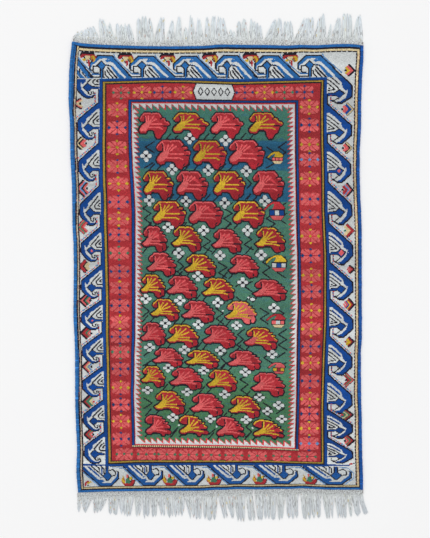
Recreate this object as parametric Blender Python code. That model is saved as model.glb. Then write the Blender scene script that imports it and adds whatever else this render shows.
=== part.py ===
# Hand-knotted rug with overcast sides and a knotted fringe at both ends.
# Metres, +Z up. The rug lies flat on z = 0, its length along Y, its pile facing up.
# Places on it are counted in squares: columns from the left and rows from the top of the weaver's
# chart, whose middle lies at the origin.

import random

import bmesh
import bpy
import numpy as np

# Driving dimensions

SQUARE = 0.0034               # one square of the chart, a knot and a half each way
CENTRE_COLUMN = 219.0         # chart column over x = 0
CENTRE_ROW = 268.0            # chart row over y = 0

PILE_THICKNESS = 0.0080       # foundation and pile together
PILE_ROUNDING = 0.0016        # clipped edge of the pile
SELVEDGE_WIDTH = 0.0115       # overcast cord along each side
SELVEDGE_THICKNESS = 0.0076
HEADING_WIDTH = 0.0160        # knotted net between the pile and the loose warp ends
HEADING_THICKNESS = 0.0052
PIECE_GAP = 0.0003            # between neighbouring pieces

STRAND_PITCH = 0.0083         # one strand at its root
STRAND_GAP = 0.0006           # between two strands
STRAND_TIP_THICKNESS = 0.0024
STRAND_SECTIONS = (0.38, 0.72, 1.0)
STRAND_LENGTH_SPREAD = 0.0052 # how far the tips of one lock are uneven
LOCK_SWAY = 1.25              # above 1, a lock leaves the heading straight and leans later

OUTLINE_SQUARES = 7           # spacing of the points along the woven edges

# The uneven woven edges. Sides: row, column. Ends: column, row.

LEFT_EDGE = ((41, 72.0), (58, 70.0), (72, 69.0), (100, 68.4), (128, 70.0), (156, 70.3), (184, 72.0),
             (226, 72.3), (240, 73.4), (268, 73.8), (310, 73.3), (352, 74.8), (408, 75.2),
             (450, 77.0), (471, 76.3), (493, 78.0))
RIGHT_EDGE = ((44, 363.6), (58, 363.6), (72, 362.8), (100, 361.9), (128, 361.8), (150, 360.4),
              (170, 360.0), (198, 360.8), (226, 361.8), (338, 362.0), (352, 361.2), (394, 361.0),
              (415, 361.9), (450, 362.1), (470, 362.8), (490, 363.2))
TOP_EDGE = ((71, 41.2), (76, 42.3), (82, 43.4), (92, 44.2), (108, 45.0), (140, 46.1), (172, 46.4),
            (204, 46.0), (220, 44.5), (244, 44.9), (268, 45.1), (289, 45.7), (300, 44.8),
            (316, 45.4), (334, 44.2), (350, 44.0), (360, 44.9), (364, 46.0))
BOTTOM_EDGE = ((76, 492.7), (92, 491.9), (108, 491.4), (140, 491.0), (170, 490.7), (202, 490.7),
               (216, 489.6), (225, 489.8), (236, 488.9), (260, 489.4), (276, 488.7), (290, 488.9),
               (301, 488.1), (314, 488.9), (330, 489.6), (364, 489.5))

# The locks that the warp ends lie in. Columns of the roots, columns of the tips, rows of the tips.

LOCK = ("root_left", "root_right", "tip_left", "tip_right", "tip_row_left", "tip_row_right")
TOP_LOCKS = (
    (73.3, 86.0, 76.5, 86.5, 31.0, 28.5),
    (86.0, 99.3, 86.5, 94.0, 28.5, 25.5),
    (100.0, 110.0, 98.3, 104.0, 19.5, 19.5),
    (110.0, 116.0, 107.5, 110.0, 27.0, 21.5),
    (116.0, 125.0, 115.0, 123.0, 24.5, 24.5),
    (125.0, 134.2, 123.0, 130.5, 24.5, 23.0),
    (137.0, 145.0, 135.8, 144.0, 18.0, 16.0),
    (145.0, 153.5, 144.0, 152.0, 16.0, 18.0),
    (153.7, 165.0, 159.5, 164.8, 17.5, 17.0),
    (165.0, 174.0, 171.5, 173.7, 21.0, 20.0),
    (174.0, 183.0, 177.7, 180.0, 18.0, 17.0),
    (183.0, 188.0, 183.5, 187.0, 29.0, 27.0),
    (188.0, 196.0, 189.8, 193.0, 15.0, 17.0),
    (196.0, 204.0, 197.5, 200.5, 18.5, 20.0),
    (204.0, 210.0, 206.0, 208.5, 18.0, 18.0),
    (210.0, 217.0, 211.8, 215.8, 16.5, 16.5),
    (217.0, 229.0, 217.0, 224.5, 16.0, 19.5),
    (229.0, 236.8, 229.0, 235.3, 30.5, 30.5),
    (237.0, 248.3, 236.3, 246.3, 23.0, 18.5),
    (249.0, 263.0, 250.0, 262.0, 17.0, 26.0),
    (264.0, 274.0, 273.3, 276.5, 20.0, 18.5),
    (274.0, 282.0, 278.0, 281.6, 18.0, 18.5),
    (282.3, 294.3, 284.0, 291.8, 21.0, 20.5),
    (295.0, 314.0, 303.8, 313.8, 18.0, 17.0),
    (314.3, 326.6, 318.0, 324.6, 18.5, 13.5),
    (327.0, 331.0, 330.0, 331.5, 25.0, 22.0),
    (331.2, 342.0, 337.5, 340.5, 18.0, 18.0),
    (342.2, 352.0, 342.6, 352.0, 12.5, 14.5),
    (352.2, 363.0, 357.5, 361.3, 16.0, 14.3),
)
BOTTOM_LOCKS = (
    (77.7, 82.0, 77.5, 79.5, 512.0, 513.0),
    (82.0, 92.8, 82.7, 85.7, 511.0, 512.0),
    (93.3, 108.0, 93.3, 102.0, 512.8, 510.5),
    (108.3, 118.5, 108.0, 118.0, 513.0, 515.0),
    (118.5, 133.6, 119.7, 130.8, 514.5, 516.5),
    (134.6, 142.4, 135.3, 140.3, 516.0, 515.0),
    (142.4, 150.4, 143.2, 149.5, 518.0, 517.0),
    (151.0, 157.0, 152.0, 156.6, 518.0, 516.0),
    (157.0, 165.4, 160.0, 165.0, 515.0, 516.0),
    (165.4, 185.0, 167.5, 184.0, 517.5, 515.5),
    (185.0, 202.0, 189.0, 201.3, 517.0, 520.0),
    (202.3, 217.6, 203.5, 216.6, 519.5, 520.5),
    (218.2, 224.4, 223.0, 228.0, 518.5, 518.5),
    (224.6, 234.2, 231.0, 234.0, 519.0, 518.5),
    (234.4, 245.6, 236.8, 244.8, 521.0, 521.5),
    (245.8, 252.3, 247.8, 256.0, 520.0, 521.0),
    (255.0, 263.0, 257.8, 263.0, 520.5, 520.5),
    (263.2, 276.6, 264.0, 276.0, 519.0, 519.5),
    (276.8, 285.6, 278.3, 283.2, 520.0, 519.5),
    (285.8, 298.6, 286.8, 298.8, 518.5, 518.5),
    (300.0, 310.8, 302.5, 311.5, 517.5, 519.5),
    (310.8, 321.4, 311.7, 321.2, 519.0, 517.5),
    (321.7, 329.4, 326.0, 330.4, 518.0, 519.3),
    (330.0, 334.0, 331.6, 333.4, 517.5, 517.5),
    (334.3, 347.6, 337.3, 347.0, 518.0, 517.5),
    (347.9, 363.0, 349.0, 368.9, 517.0, 515.0),
)


def x_at(column):
    return (column - CENTRE_COLUMN) * SQUARE


def y_at(row):
    return (CENTRE_ROW - row) * SQUARE


def smooth(table, at):
    """Value of a short table at a place between its lines, on a curve without corners."""
    places, values = np.array(table).T
    slopes = np.gradient(values, places)
    at = min(max(at, places[0]), places[-1])
    i = min(int(np.searchsorted(places, at, side="right")) - 1, len(places) - 2)
    span = places[i + 1] - places[i]
    t = (at - places[i]) / span
    return float(
        values[i] * (1 + 2 * t) * (1 - t) ** 2
        + slopes[i] * span * t * (1 - t) ** 2
        + values[i + 1] * t**2 * (3 - 2 * t)
        + slopes[i + 1] * span * t**2 * (t - 1)
    )


def woven(table, at):
    """Value on the straight run between two outline points, so that neighbours share the edge."""
    before = np.floor(at / OUTLINE_SQUARES) * OUTLINE_SQUARES
    after = before + OUTLINE_SQUARES
    return mix(smooth(table, before), smooth(table, after), (at - before) / OUTLINE_SQUARES)


def stops(start, end):
    """Outline points from one chart square to another, in either direction, with both ends."""
    low, high = min(start, end), max(start, end)
    first = int(np.floor(low / OUTLINE_SQUARES)) + 1
    last = int(np.ceil(high / OUTLINE_SQUARES))
    between = [i * OUTLINE_SQUARES for i in range(first, last)]
    marks = [low] + between + [high]
    return marks if start < end else marks[::-1]


def left_x(row):
    return x_at(woven(LEFT_EDGE, row))


def right_x(row):
    return x_at(woven(RIGHT_EDGE, row))


def top_y(column):
    return y_at(woven(TOP_EDGE, column))


def bottom_y(column):
    return y_at(woven(BOTTOM_EDGE, column))


def column_at(x):
    return x / SQUARE + CENTRE_COLUMN


def row_at(y):
    return CENTRE_ROW - y / SQUARE


def mix(start, end, share):
    return start + (end - start) * share


def material(name, colour, roughness):
    made = bpy.data.materials.new(name)
    made.use_nodes = True
    shader = made.node_tree.nodes["Principled BSDF"]
    shader.inputs["Base Color"].default_value = (*colour, 1.0)
    shader.inputs["Roughness"].default_value = roughness
    shader.inputs["Metallic"].default_value = 0.0
    return made


def add_object(name, mesh, finish, collection):
    piece = bpy.data.objects.new(name, mesh)
    mesh.materials.append(finish)
    collection.objects.link(piece)
    return piece


def mesh_from(bm, name):
    bmesh.ops.recalc_face_normals(bm, faces=bm.faces)
    mesh = bpy.data.meshes.new(name)
    bm.to_mesh(mesh)
    bm.free()
    return mesh


def loft(bm, rings):
    """Closed body through rings of points that match one to one. Gives the faces between the rings."""
    loops = [[bm.verts.new(point) for point in ring] for ring in rings]
    count = len(loops[0])
    walls = []
    for before, after in zip(loops, loops[1:]):
        walls.append(
            [
                bm.faces.new((before[i], before[(i + 1) % count], after[(i + 1) % count], after[i]))
                for i in range(count)
            ]
        )
    bm.faces.new(loops[0])
    bm.faces.new(loops[-1])
    return walls


# Knotted body

def body_outline():
    """Points round the knotted body, between the overcast sides and the two knotted headings."""
    inset = SELVEDGE_WIDTH + PIECE_GAP
    top_row, bottom_row = TOP_EDGE[0][1], BOTTOM_EDGE[0][1]
    top_left = column_at(left_x(top_row) + inset)
    top_right = column_at(right_x(top_row) - inset)
    bottom_left = column_at(left_x(bottom_row) + inset)
    bottom_right = column_at(right_x(bottom_row) - inset)
    top = [(x_at(column), top_y(column)) for column in stops(top_left, top_right)]
    bottom = [(x_at(column), bottom_y(column)) for column in stops(bottom_right, bottom_left)]
    down = stops(row_at(top[-1][1]), row_at(bottom[0][1]))[1:-1]
    up = stops(row_at(bottom[-1][1]), row_at(top[0][1]))[1:-1]
    right = [(right_x(row) - inset, y_at(row)) for row in down]
    left = [(left_x(row) + inset, y_at(row)) for row in up]
    return top + right + bottom + left


def pile_body(collection):
    points = body_outline()
    curve = bpy.data.curves.new("pile_outline", "CURVE")
    curve.dimensions = "2D"
    curve.fill_mode = "BOTH"
    curve.bevel_depth = PILE_ROUNDING
    curve.bevel_resolution = 0
    curve.offset = -PILE_ROUNDING
    curve.extrude = PILE_THICKNESS / 2 - PILE_ROUNDING
    spline = curve.splines.new("POLY")
    spline.points.add(len(points) - 1)
    for point, (x, y) in zip(spline.points, points):
        point.co = (x, y, 0.0, 1.0)
    spline.use_cyclic_u = True
    drawn = bpy.data.objects.new("pile_outline", curve)
    drawn.location.z = PILE_THICKNESS / 2
    collection.objects.link(drawn)
    graph = bpy.context.evaluated_depsgraph_get()
    mesh = bpy.data.meshes.new_from_object(drawn.evaluated_get(graph))
    place = drawn.matrix_world.copy()
    bpy.data.objects.remove(drawn)
    bm = bmesh.new()
    bm.from_mesh(mesh)
    bpy.data.meshes.remove(mesh)
    bmesh.ops.remove_doubles(bm, verts=bm.verts, dist=0.00001)
    wool = material("knotted_wool", (0.165, 0.205, 0.235), 0.9)
    piece = add_object("pile_body", mesh_from(bm, "pile_body"), wool, collection)
    piece.matrix_world = place


# Overcast sides

def selvedge_ring(outer, inward, y):
    """Flattened round section of the overcast cord, from its outer edge inwards."""
    width, height = SELVEDGE_WIDTH, SELVEDGE_THICKNESS
    section = ((0.14, 0.0), (0.86, 0.0), (1.0, 0.28), (1.0, 0.66), (0.80, 0.95),
               (0.50, 1.0), (0.20, 0.95), (0.0, 0.66), (0.0, 0.28))
    return [(outer + inward * across * width, y, up * height) for across, up in section]


def selvedge_columns(edge_x, inward, row):
    """Chart columns of the cord's outer side, middle and inner side at one row."""
    outer = edge_x(row)
    return [column_at(outer + inward * across * SELVEDGE_WIDTH) for across in (0.0, 0.5, 1.0)]


def selvedge(name, edge_x, inward, collection):
    top_row, bottom_row = TOP_EDGE[0][1], BOTTOM_EDGE[0][1]
    top = min(top_y(column) for column in selvedge_columns(edge_x, inward, top_row))
    bottom = max(bottom_y(column) for column in selvedge_columns(edge_x, inward, bottom_row))
    rows = stops(row_at(top), row_at(bottom))
    rings = [selvedge_ring(edge_x(row), inward, y_at(row)) for row in rows]
    bm = bmesh.new()
    loft(bm, rings)
    blue = material(name + "_wool", (0.035, 0.125, 0.42), 0.85)
    piece = add_object(name, mesh_from(bm, name), blue, collection)
    piece.data.shade_smooth()
    piece.data.set_sharp_from_angle(angle=0.9)


# Fringed ends

def lay_out_lock(row, edge_y, outward):
    """A lock as a dictionary, with the line that its roots stand on and its greatest reach."""
    lock = dict(zip(LOCK, row))
    lock["root_y"] = edge_y((lock["root_left"] + lock["root_right"]) / 2) + outward * HEADING_WIDTH
    reaches = [abs(y_at(lock[side]) - lock["root_y"]) for side in ("tip_row_left", "tip_row_right")]
    lock["reach"] = max(reaches)
    width = (lock["root_right"] - lock["root_left"]) * SQUARE
    lock["count"] = max(1, round(width / STRAND_PITCH))
    return lock


def border_x(lock, side, distance):
    """Place of a lock's left or right border, at a distance from its roots."""
    shares = (0.0, *STRAND_SECTIONS)
    root, tip = x_at(lock["root_" + side]), x_at(lock["tip_" + side])
    places = [mix(root, tip, share**LOCK_SWAY) for share in shares]
    return float(np.interp(distance / lock["reach"], shares, places))


def strand_sides(lock, first, last, distance):
    """Both sides of one strand, which takes a share of its lock's width."""
    left = border_x(lock, "left", distance)
    right = border_x(lock, "right", distance)
    gap = STRAND_GAP / 2 * (1 - 0.4 * distance / lock["reach"])
    return mix(left, right, first) + gap, mix(left, right, last) - gap


def fringe(name, locks, edge_y, outward, seed, collection):
    """Knotted heading with the strands drawn out of its outer side, all one body."""
    chance = random.Random(seed)
    laid = [lay_out_lock(row, edge_y, outward) for row in locks]
    strands = [(lock, i / lock["count"], (i + 1) / lock["count"])
               for lock in laid for i in range(lock["count"])]
    rings = []
    for lock, first, last in strands:
        for x in strand_sides(lock, first, last, 0.0):
            inner = edge_y(column_at(x)) + outward * PIECE_GAP
            outer = inner + outward * HEADING_WIDTH
            rings.append([(x, inner, 0.0), (x, inner, HEADING_THICKNESS),
                          (x, outer, HEADING_THICKNESS), (x, outer, 0.0)])
    bm = bmesh.new()
    walls = loft(bm, rings)
    outer_side = 2
    for strand, (lock, first, last) in enumerate(strands):
        face = walls[2 * strand][outer_side]
        tip_row = mix(lock["tip_row_left"], lock["tip_row_right"], (first + last) / 2)
        length = abs(y_at(tip_row) - lock["root_y"]) - chance.uniform(0.0, STRAND_LENGTH_SPREAD)
        draw_strand(bm, face, lock, first, last, length, outward)
    warp = material(name + "_warp", (0.62, 0.62, 0.58), 0.9)
    add_object(name, mesh_from(bm, name), warp, collection)


def draw_strand(bm, face, lock, first, last, length, outward):
    """Draws one strand out of a face of the heading, thinner and narrower towards its tip."""
    marks = [share * lock["reach"] for share in STRAND_SECTIONS if share * lock["reach"] < 0.9 * length]
    for distance in (*marks, length):
        left, right = strand_sides(lock, first, last, distance)
        height = mix(HEADING_THICKNESS, STRAND_TIP_THICKNESS, distance / length)
        face = bmesh.ops.extrude_discrete_faces(bm, faces=[face])["faces"][0]
        middle = np.mean([vert.co.x for vert in face.verts])
        upper = np.mean([vert.co.z for vert in face.verts])
        for vert in face.verts:
            vert.co.x = left if vert.co.x < middle else right
            vert.co.y = lock["root_y"] + outward * distance
            vert.co.z = height if vert.co.z > upper else 0.0


def main():
    for old in list(bpy.data.objects):
        bpy.data.objects.remove(old)
    collection = bpy.data.collections.new("hand_knotted_rug")
    bpy.context.scene.collection.children.link(collection)
    pile_body(collection)
    selvedge("selvedge_left", left_x, 1, collection)
    selvedge("selvedge_right", right_x, -1, collection)
    fringe("fringe_top", TOP_LOCKS, top_y, 1, 11, collection)
    fringe("fringe_bottom", BOTTOM_LOCKS, bottom_y, -1, 23, collection)


main()
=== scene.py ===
# Looks of the hand-knotted rug: its pattern knot by knot, the woven back, the overcast sides
# and the fringes, lying on a pale floor and seen from straight above.
import math
import random

import bpy
import numpy as np
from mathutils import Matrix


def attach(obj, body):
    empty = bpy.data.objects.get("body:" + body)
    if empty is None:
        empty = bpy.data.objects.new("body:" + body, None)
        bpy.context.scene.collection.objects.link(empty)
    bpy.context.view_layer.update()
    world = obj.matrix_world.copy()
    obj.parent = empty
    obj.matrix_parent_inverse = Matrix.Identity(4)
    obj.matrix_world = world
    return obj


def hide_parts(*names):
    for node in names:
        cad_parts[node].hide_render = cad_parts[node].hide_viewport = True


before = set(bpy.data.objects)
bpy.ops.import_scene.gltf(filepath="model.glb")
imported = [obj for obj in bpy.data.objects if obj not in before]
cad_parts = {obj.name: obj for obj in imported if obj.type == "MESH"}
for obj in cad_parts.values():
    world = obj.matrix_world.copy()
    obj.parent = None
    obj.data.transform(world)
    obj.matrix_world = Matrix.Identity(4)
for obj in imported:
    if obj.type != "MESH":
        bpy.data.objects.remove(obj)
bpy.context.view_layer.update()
random.seed(41)
dice = np.random.default_rng(41)
twigDice = random.Random(5)

# The weaver's chart. Its squares are counted in columns from the left and rows from the top of
# a straight-edged rug; guide lines carry it onto the rug as it was woven, with wavy borders.

chart = {
    "square": 0.0034,              # metres to a square
    "knots": 1.5,                  # knots to a square, both ways
    "centre": (219.0, 268.0),      # column and row over the frame's origin
    "columns": (77.0, 359.0),      # pile, between the overcast sides
    "rows": (45.0, 491.0),         # pile, between the two fringes
    "easing": 9,                   # squares over which a guide line is smoothed
}

wool = {                           # colours of the dyed wool, on a scale of 255
    "ivory": (195, 199, 199),
    "navy": (15, 66, 137),
    "black": (30, 27, 38),
    "red": (166, 47, 53),
    "salmon": (206, 93, 94),
    "yellow": (198, 164, 46),
    "sand": (198, 180, 140),
    "ochre": (160, 132, 52),
    "green": (76, 128, 98),
    "lightBlue": (92, 132, 176),
    "leafGreen": (64, 118, 92),
    "crimson": (156, 36, 46),
    "clay": (186, 58, 66),
    "blue": (36, 100, 166),
    "deep": (22, 62, 110),
    "leafRed": (161, 42, 50),
    "rose": (212, 92, 94),
}
woolNames = list(wool)

# Edges of the rug in squares, by row at the sides and by column at the ends, measured on the photo.
leftEdge = ((41, 72.0), (58, 70.0), (72, 69.0), (100, 68.4), (128, 70.0), (156, 70.3), (184, 72.0),
            (226, 72.3), (240, 73.4), (268, 73.8), (310, 73.3), (352, 74.8), (408, 75.2),
            (450, 77.0), (471, 76.3), (493, 78.0))
rightEdge = ((44, 363.6), (58, 363.6), (72, 362.3), (100, 361.3), (128, 361.1), (150, 360.0),
             (170, 359.7), (198, 360.5), (226, 361.7), (338, 362.0), (352, 361.2), (394, 361.0),
             (415, 361.9), (450, 362.1), (470, 362.8), (490, 363.2))
topEdge = ((71, 41.2), (76, 42.3), (82, 43.4), (92, 44.2), (108, 45.0), (140, 46.1), (172, 46.4),
           (204, 46.0), (220, 44.5), (244, 44.9), (268, 45.1), (289, 45.7), (300, 44.8),
           (316, 45.4), (334, 44.2), (350, 44.0), (360, 44.9), (364, 46.0))
bottomEdge = ((76, 492.7), (92, 491.9), (108, 491.4), (140, 491.0), (170, 490.7), (202, 490.7),
              (216, 489.6), (225, 489.8), (236, 488.9), (260, 489.4), (276, 488.7), (290, 488.9),
              (301, 488.1), (314, 488.9), (330, 489.6), (364, 489.5))
sideWidth = 3.4                    # squares that an overcast side takes

# Guide lines, measured in the same way: a column of the chart and where it runs on the rug, by row,
# and a row of the chart and where it runs, by column.
columnGuides = (
    (77.0, tuple((row, column + sideWidth) for row, column in leftEdge)),
    (107.0, ((86, 104.5), (128, 104.5), (142, 104.1), (184, 104.5), (198, 105.4), (226, 105.6),
             (254, 106.4), (282, 107.0), (296, 107.5), (338, 107.5), (366, 108.4), (394, 108.7),
             (436, 109.5), (450, 110.0))),
    (135.0, ((114, 132.1), (142, 132.2), (170, 133.3), (184, 134.5), (212, 135.8), (338, 135.6),
             (352, 134.8), (380, 134.7), (394, 134.1), (408, 134.7), (436, 135.5))),
    (295.0, ((114, 294.6), (156, 294.6), (170, 295.0), (212, 295.6), (240, 296.2), (254, 296.9),
             (310, 297.4), (324, 296.6), (394, 295.9), (422, 295.2), (436, 294.5))),
    (323.0, ((72, 322.7), (100, 322.0), (142, 322.2), (170, 323.0), (212, 323.3), (254, 325.2),
             (324, 325.1), (352, 323.9), (380, 323.0), (408, 322.2), (450, 322.6))),
    (359.0, tuple((row, column - sideWidth) for row, column in rightEdge)),
)
rowGuides = (
    (45.0, topEdge),
    (82.3, ((108, 82.6), (124, 82.1), (156, 81.2), (188, 81.4), (236, 83.1), (268, 82.3),
            (284, 81.9), (316, 81.1))),
    (103.5, ((140, 103.3), (185, 103.4), (205, 104.1), (265, 104.4), (290, 104.1))),
    (447.0, ((135, 445.1), (220, 446.2), (250, 447.0), (298, 449.2))),
    (461.8, ((110, 462.5), (140, 461.3), (268, 461.3), (284, 462.0), (320, 463.0))),
    (491.0, bottomEdge),
)
steps = np.arange(0.0, 560.0)


def eased(table):
    places, values = zip(*table)
    dense = np.interp(steps, places, values)
    reach = chart["easing"]
    padded = np.pad(dense, reach // 2, "edge")
    return np.convolve(padded, np.ones(reach) / reach, "valid")[:len(steps)]


columnGuides = [(mark, eased(table)) for mark, table in columnGuides]
rowGuides = [(mark, eased(table)) for mark, table in rowGuides]


def across(guides, at, along):
    marks = [mark for mark, _ in guides]
    lines = [np.interp(along, steps, line) for _, line in guides]
    out = np.where(at > marks[-1], lines[-1] + at - marks[-1], lines[0] + at - marks[0])
    for k in range(len(marks) - 1):
        share = (at - marks[k]) / (marks[k + 1] - marks[k])
        out = np.where((share >= 0) & (share <= 1), lines[k] + share * (lines[k + 1] - lines[k]), out)
    return out


def woven(columns, rows):          # from the straight chart to the rug as woven
    x, y = columns, rows
    for _ in range(3):
        x, y = across(columnGuides, columns, y), across(rowGuides, rows, x)
    return x, y


def charted(column, row):          # the other way
    found = []
    for guides, value, along in ((columnGuides, column, row), (rowGuides, row, column)):
        marks = [mark for mark, _ in guides]
        lines = [float(np.interp(along, steps, line)) for _, line in guides]
        inner = float(np.interp(value, lines, marks))
        found.append(inner + min(0.0, value - lines[0]) + max(0.0, value - lines[-1]))
    return tuple(found)


def metres(columns, rows):
    return ((columns - chart["centre"][0]) * chart["square"],
            (chart["centre"][1] - rows) * chart["square"])


# Charting: shapes are laid over the knots, and every knot whose middle is covered takes the wool.

knotSize = 1.0 / chart["knots"]
columnCount = round((chart["columns"][1] - chart["columns"][0]) * chart["knots"])
rowCount = round((chart["rows"][1] - chart["rows"][0]) * chart["knots"])
knotColumns = chart["columns"][0] + (np.arange(columnCount) + 0.5) * knotSize
knotRows = chart["rows"][0] + (np.arange(rowCount) + 0.5) * knotSize
knots = np.zeros((rowCount, columnCount), dtype=np.int8)


def window(low, high):
    i = np.searchsorted(knotColumns, (low[0], high[0]))
    j = np.searchsorted(knotRows, (low[1], high[1]))
    part = (slice(j[0], j[1]), slice(i[0], i[1]))
    return part, knotColumns[None, part[1]], knotRows[part[0], None]


class Pen:                         # draws in its own directions from its own starting place
    def __init__(self, start=(0.0, 0.0), along=(1.0, 0.0), up=(0.0, 1.0)):
        self.start = np.array(start, dtype=float)
        self.ways = np.array((along, up), dtype=float)

    def place(self, points):
        return self.start + np.array(points, dtype=float) @ self.ways

    def fill(self, name, *points):
        p = self.place(points)
        part, across, down = window(p.min(0), p.max(0))
        inside = np.zeros((down.shape[0], across.shape[1]), dtype=bool)
        for (x0, y0), (x1, y1) in zip(p, np.roll(p, -1, axis=0)):
            if y0 != y1:
                edge = x0 + (down - y0) * (x1 - x0) / (y1 - y0)
                inside ^= ((y0 > down) != (y1 > down)) & (across < edge)
        knots[part][inside] = woolNames.index(name)

    def line(self, name, width, *points):
        p = self.place(points)
        half = width / 2
        for (x0, y0), (x1, y1) in zip(p[:-1], p[1:]):
            low = (min(x0, x1) - half, min(y0, y1) - half)
            high = (max(x0, x1) + half, max(y0, y1) + half)
            part, across, down = window(low, high)
            length = max((x1 - x0) ** 2 + (y1 - y0) ** 2, 1e-9)
            share = np.clip(((across - x0) * (x1 - x0) + (down - y0) * (y1 - y0)) / length, 0, 1)
            gap = np.hypot(across - x0 - share * (x1 - x0), down - y0 - share * (y1 - y0))
            knots[part][gap <= half] = woolNames.index(name)

    def closed(self, name, width, *points):
        self.line(name, width, *points, points[0])

    def spot(self, name, at, wide, high=None):
        high = high or wide
        ring = [(at[0] + wide * math.cos(k * math.pi / 8), at[1] + high * math.sin(k * math.pi / 8))
                for k in range(16)]
        self.fill(name, *ring)

    def diamond(self, name, at, wide, high=None):
        high = high or wide
        self.fill(name, (at[0] - wide, at[1]), (at[0], at[1] - high),
                  (at[0] + wide, at[1]), (at[0], at[1] + high))


chalk = Pen()


def box(name, left, top, right, bottom):
    chalk.fill(name, (left, top), (right, top), (right, bottom), (left, bottom))


def frameOf(name, outer, inner):   # a band between two rectangles
    for left, top, right, bottom in ((outer[0], outer[1], outer[2], inner[1]),
                                     (outer[0], inner[3], outer[2], outer[3]),
                                     (outer[0], inner[1], inner[0], inner[3]),
                                     (inner[2], inner[1], outer[2], inner[3])):
        box(name, left, top, right, bottom)


outerNest = (                      # each wool fills all inside its rectangle
    ("blue", 77.0, 45.0, 359.0, 491.0),
    ("black", 77.0, 47.8, 358.9, 488.9),
    ("sand", 78.2, 49.4, 358.1, 487.9),
    ("black", 79.2, 51.5, 356.2, 486.4),
    ("ivory", 80.3, 52.7, 355.2, 485.4),
)
blueEdge = (                       # extra blue pile along the left side, by row
    (45, 1.6), (96, 1.5), (110, 0.3), (146, 0.5), (165, 0.6), (200, 0.4), (236, -0.3), (290, -0.3),
    (306, 0.0), (340, 0.0), (360, 0.6), (398, 0.3), (405, -0.1), (434, 0.0), (450, -0.5), (491, -0.5),
)
innerNest = (
    ("navy", 102.5, 78.5, 328.0, 465.4),
    ("black", 105.0, 80.8, 324.8, 463.4),
    ("ochre", 106.0, 81.8, 323.9, 462.5),
    ("black", 107.6, 83.3, 322.3, 461.2),
    ("red", 108.8, 84.5, 321.1, 460.4),
    ("black", 130.9, 99.8, 299.3, 449.0),
    ("navy", 131.9, 100.6, 298.3, 447.0),
    ("black", 133.6, 101.9, 296.8, 447.0),
    ("clay", 134.1, 102.4, 296.0, 446.8),
    ("ivory", 135.1, 103.4, 295.0, 445.4),
    ("green", 141.5, 110.0, 288.5, 436.8),
)


def grounds(nest):
    for name, left, top, right, bottom in nest:
        box(name, left, top, right, bottom)


def edgeStripes():
    for (name, *outer), (_, *inner) in zip(outerNest, outerNest[1:]):
        frameOf(name, outer, inner)
    for row in knotRows[(knotRows > 48) & (knotRows < 488)]:
        extra = float(np.interp(row, *zip(*blueEdge)))
        left = 77.0
        for name, right in (("blue", 77.0), ("black", 78.1), ("sand", 79.2), ("black", 80.3)):
            box(name, left, row - 0.3, right + extra, row + 0.3)
            left = right + extra


def dashes():
    for column in np.arange(81, 356, 5.3):     # broken dark line inside the sand stripe
        box("ivory", column, 51.5, column + 0.7, 52.7)
    for row in np.arange(53, 485, 3.3):
        box("ivory", 355.2, row, 355.9, row + 0.9)
    for column in np.arange(132, 299, 2.0):    # dotted line that closes the field below
        box("sand", column, 447.0, column + 1.3, 448.2)


teeth = {                          # first tooth, last one, and their pitch along the border
    "top": (135.6, 289.0, ((142, 6.4), (289, 6.4))),
    "bottom": (138.25, 287.0, ((144, 6.15), (236, 6.3), (270, 6.9))),
    "left": (108.6, 438.0, ((106, 4.85), (165, 5.0), (214, 4.9), (225, 4.4), (345, 4.3), (352, 4.05),
                            (375, 4.1), (382, 4.7))),
    "right": (107.4, 438.0, ((106, 4.55), (205, 4.7), (225, 5.0), (345, 4.8), (354, 4.15))),
}


def toothRow(side):
    first, last, table = teeth[side]
    edges = [first]
    while edges[-1] < last:
        edges.append(edges[-1] + float(np.interp(edges[-1], *zip(*table))))
    return list(zip(edges, edges[1:]))


def sawTeeth():
    for a, b in toothRow("top"):
        chalk.fill("ivory", (a, 103.4), (b, 103.4), (b, 110.2), (a, 104.8))
        chalk.fill("green", (a, 104.8), (b, 110.2), (a, 110.2))
    for a, b in toothRow("top"):
        chalk.line("clay", 0.8, (a, 104.4), (b, 110.0), (b, 104.6))
    for a, b in toothRow("bottom"):
        chalk.fill("green", (a, 436.6), (b, 436.6), (b, 444.6), (a, 439.6))
        chalk.fill("ivory", (a, 439.6), (b, 444.6), (b, 445.4), (a, 445.4))
    for a, b in toothRow("bottom"):
        chalk.line("clay", 0.8, (a, 439.4), (b, 444.4), (b, 439.4))
    for side, outer, tip in (("left", 136.2, 141.6), ("right", 293.8, 288.2)):
        for a, b in toothRow(side):
            chalk.fill("green", (outer, a), (tip, a), (tip, b))
            chalk.fill("ivory", (outer, a), (outer, b), (tip, b))
        for a, b in toothRow(side):
            chalk.line("clay", 0.8, (tip, a), (outer + (0.6 if outer < tip else -0.6), a), (tip, b))


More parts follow.
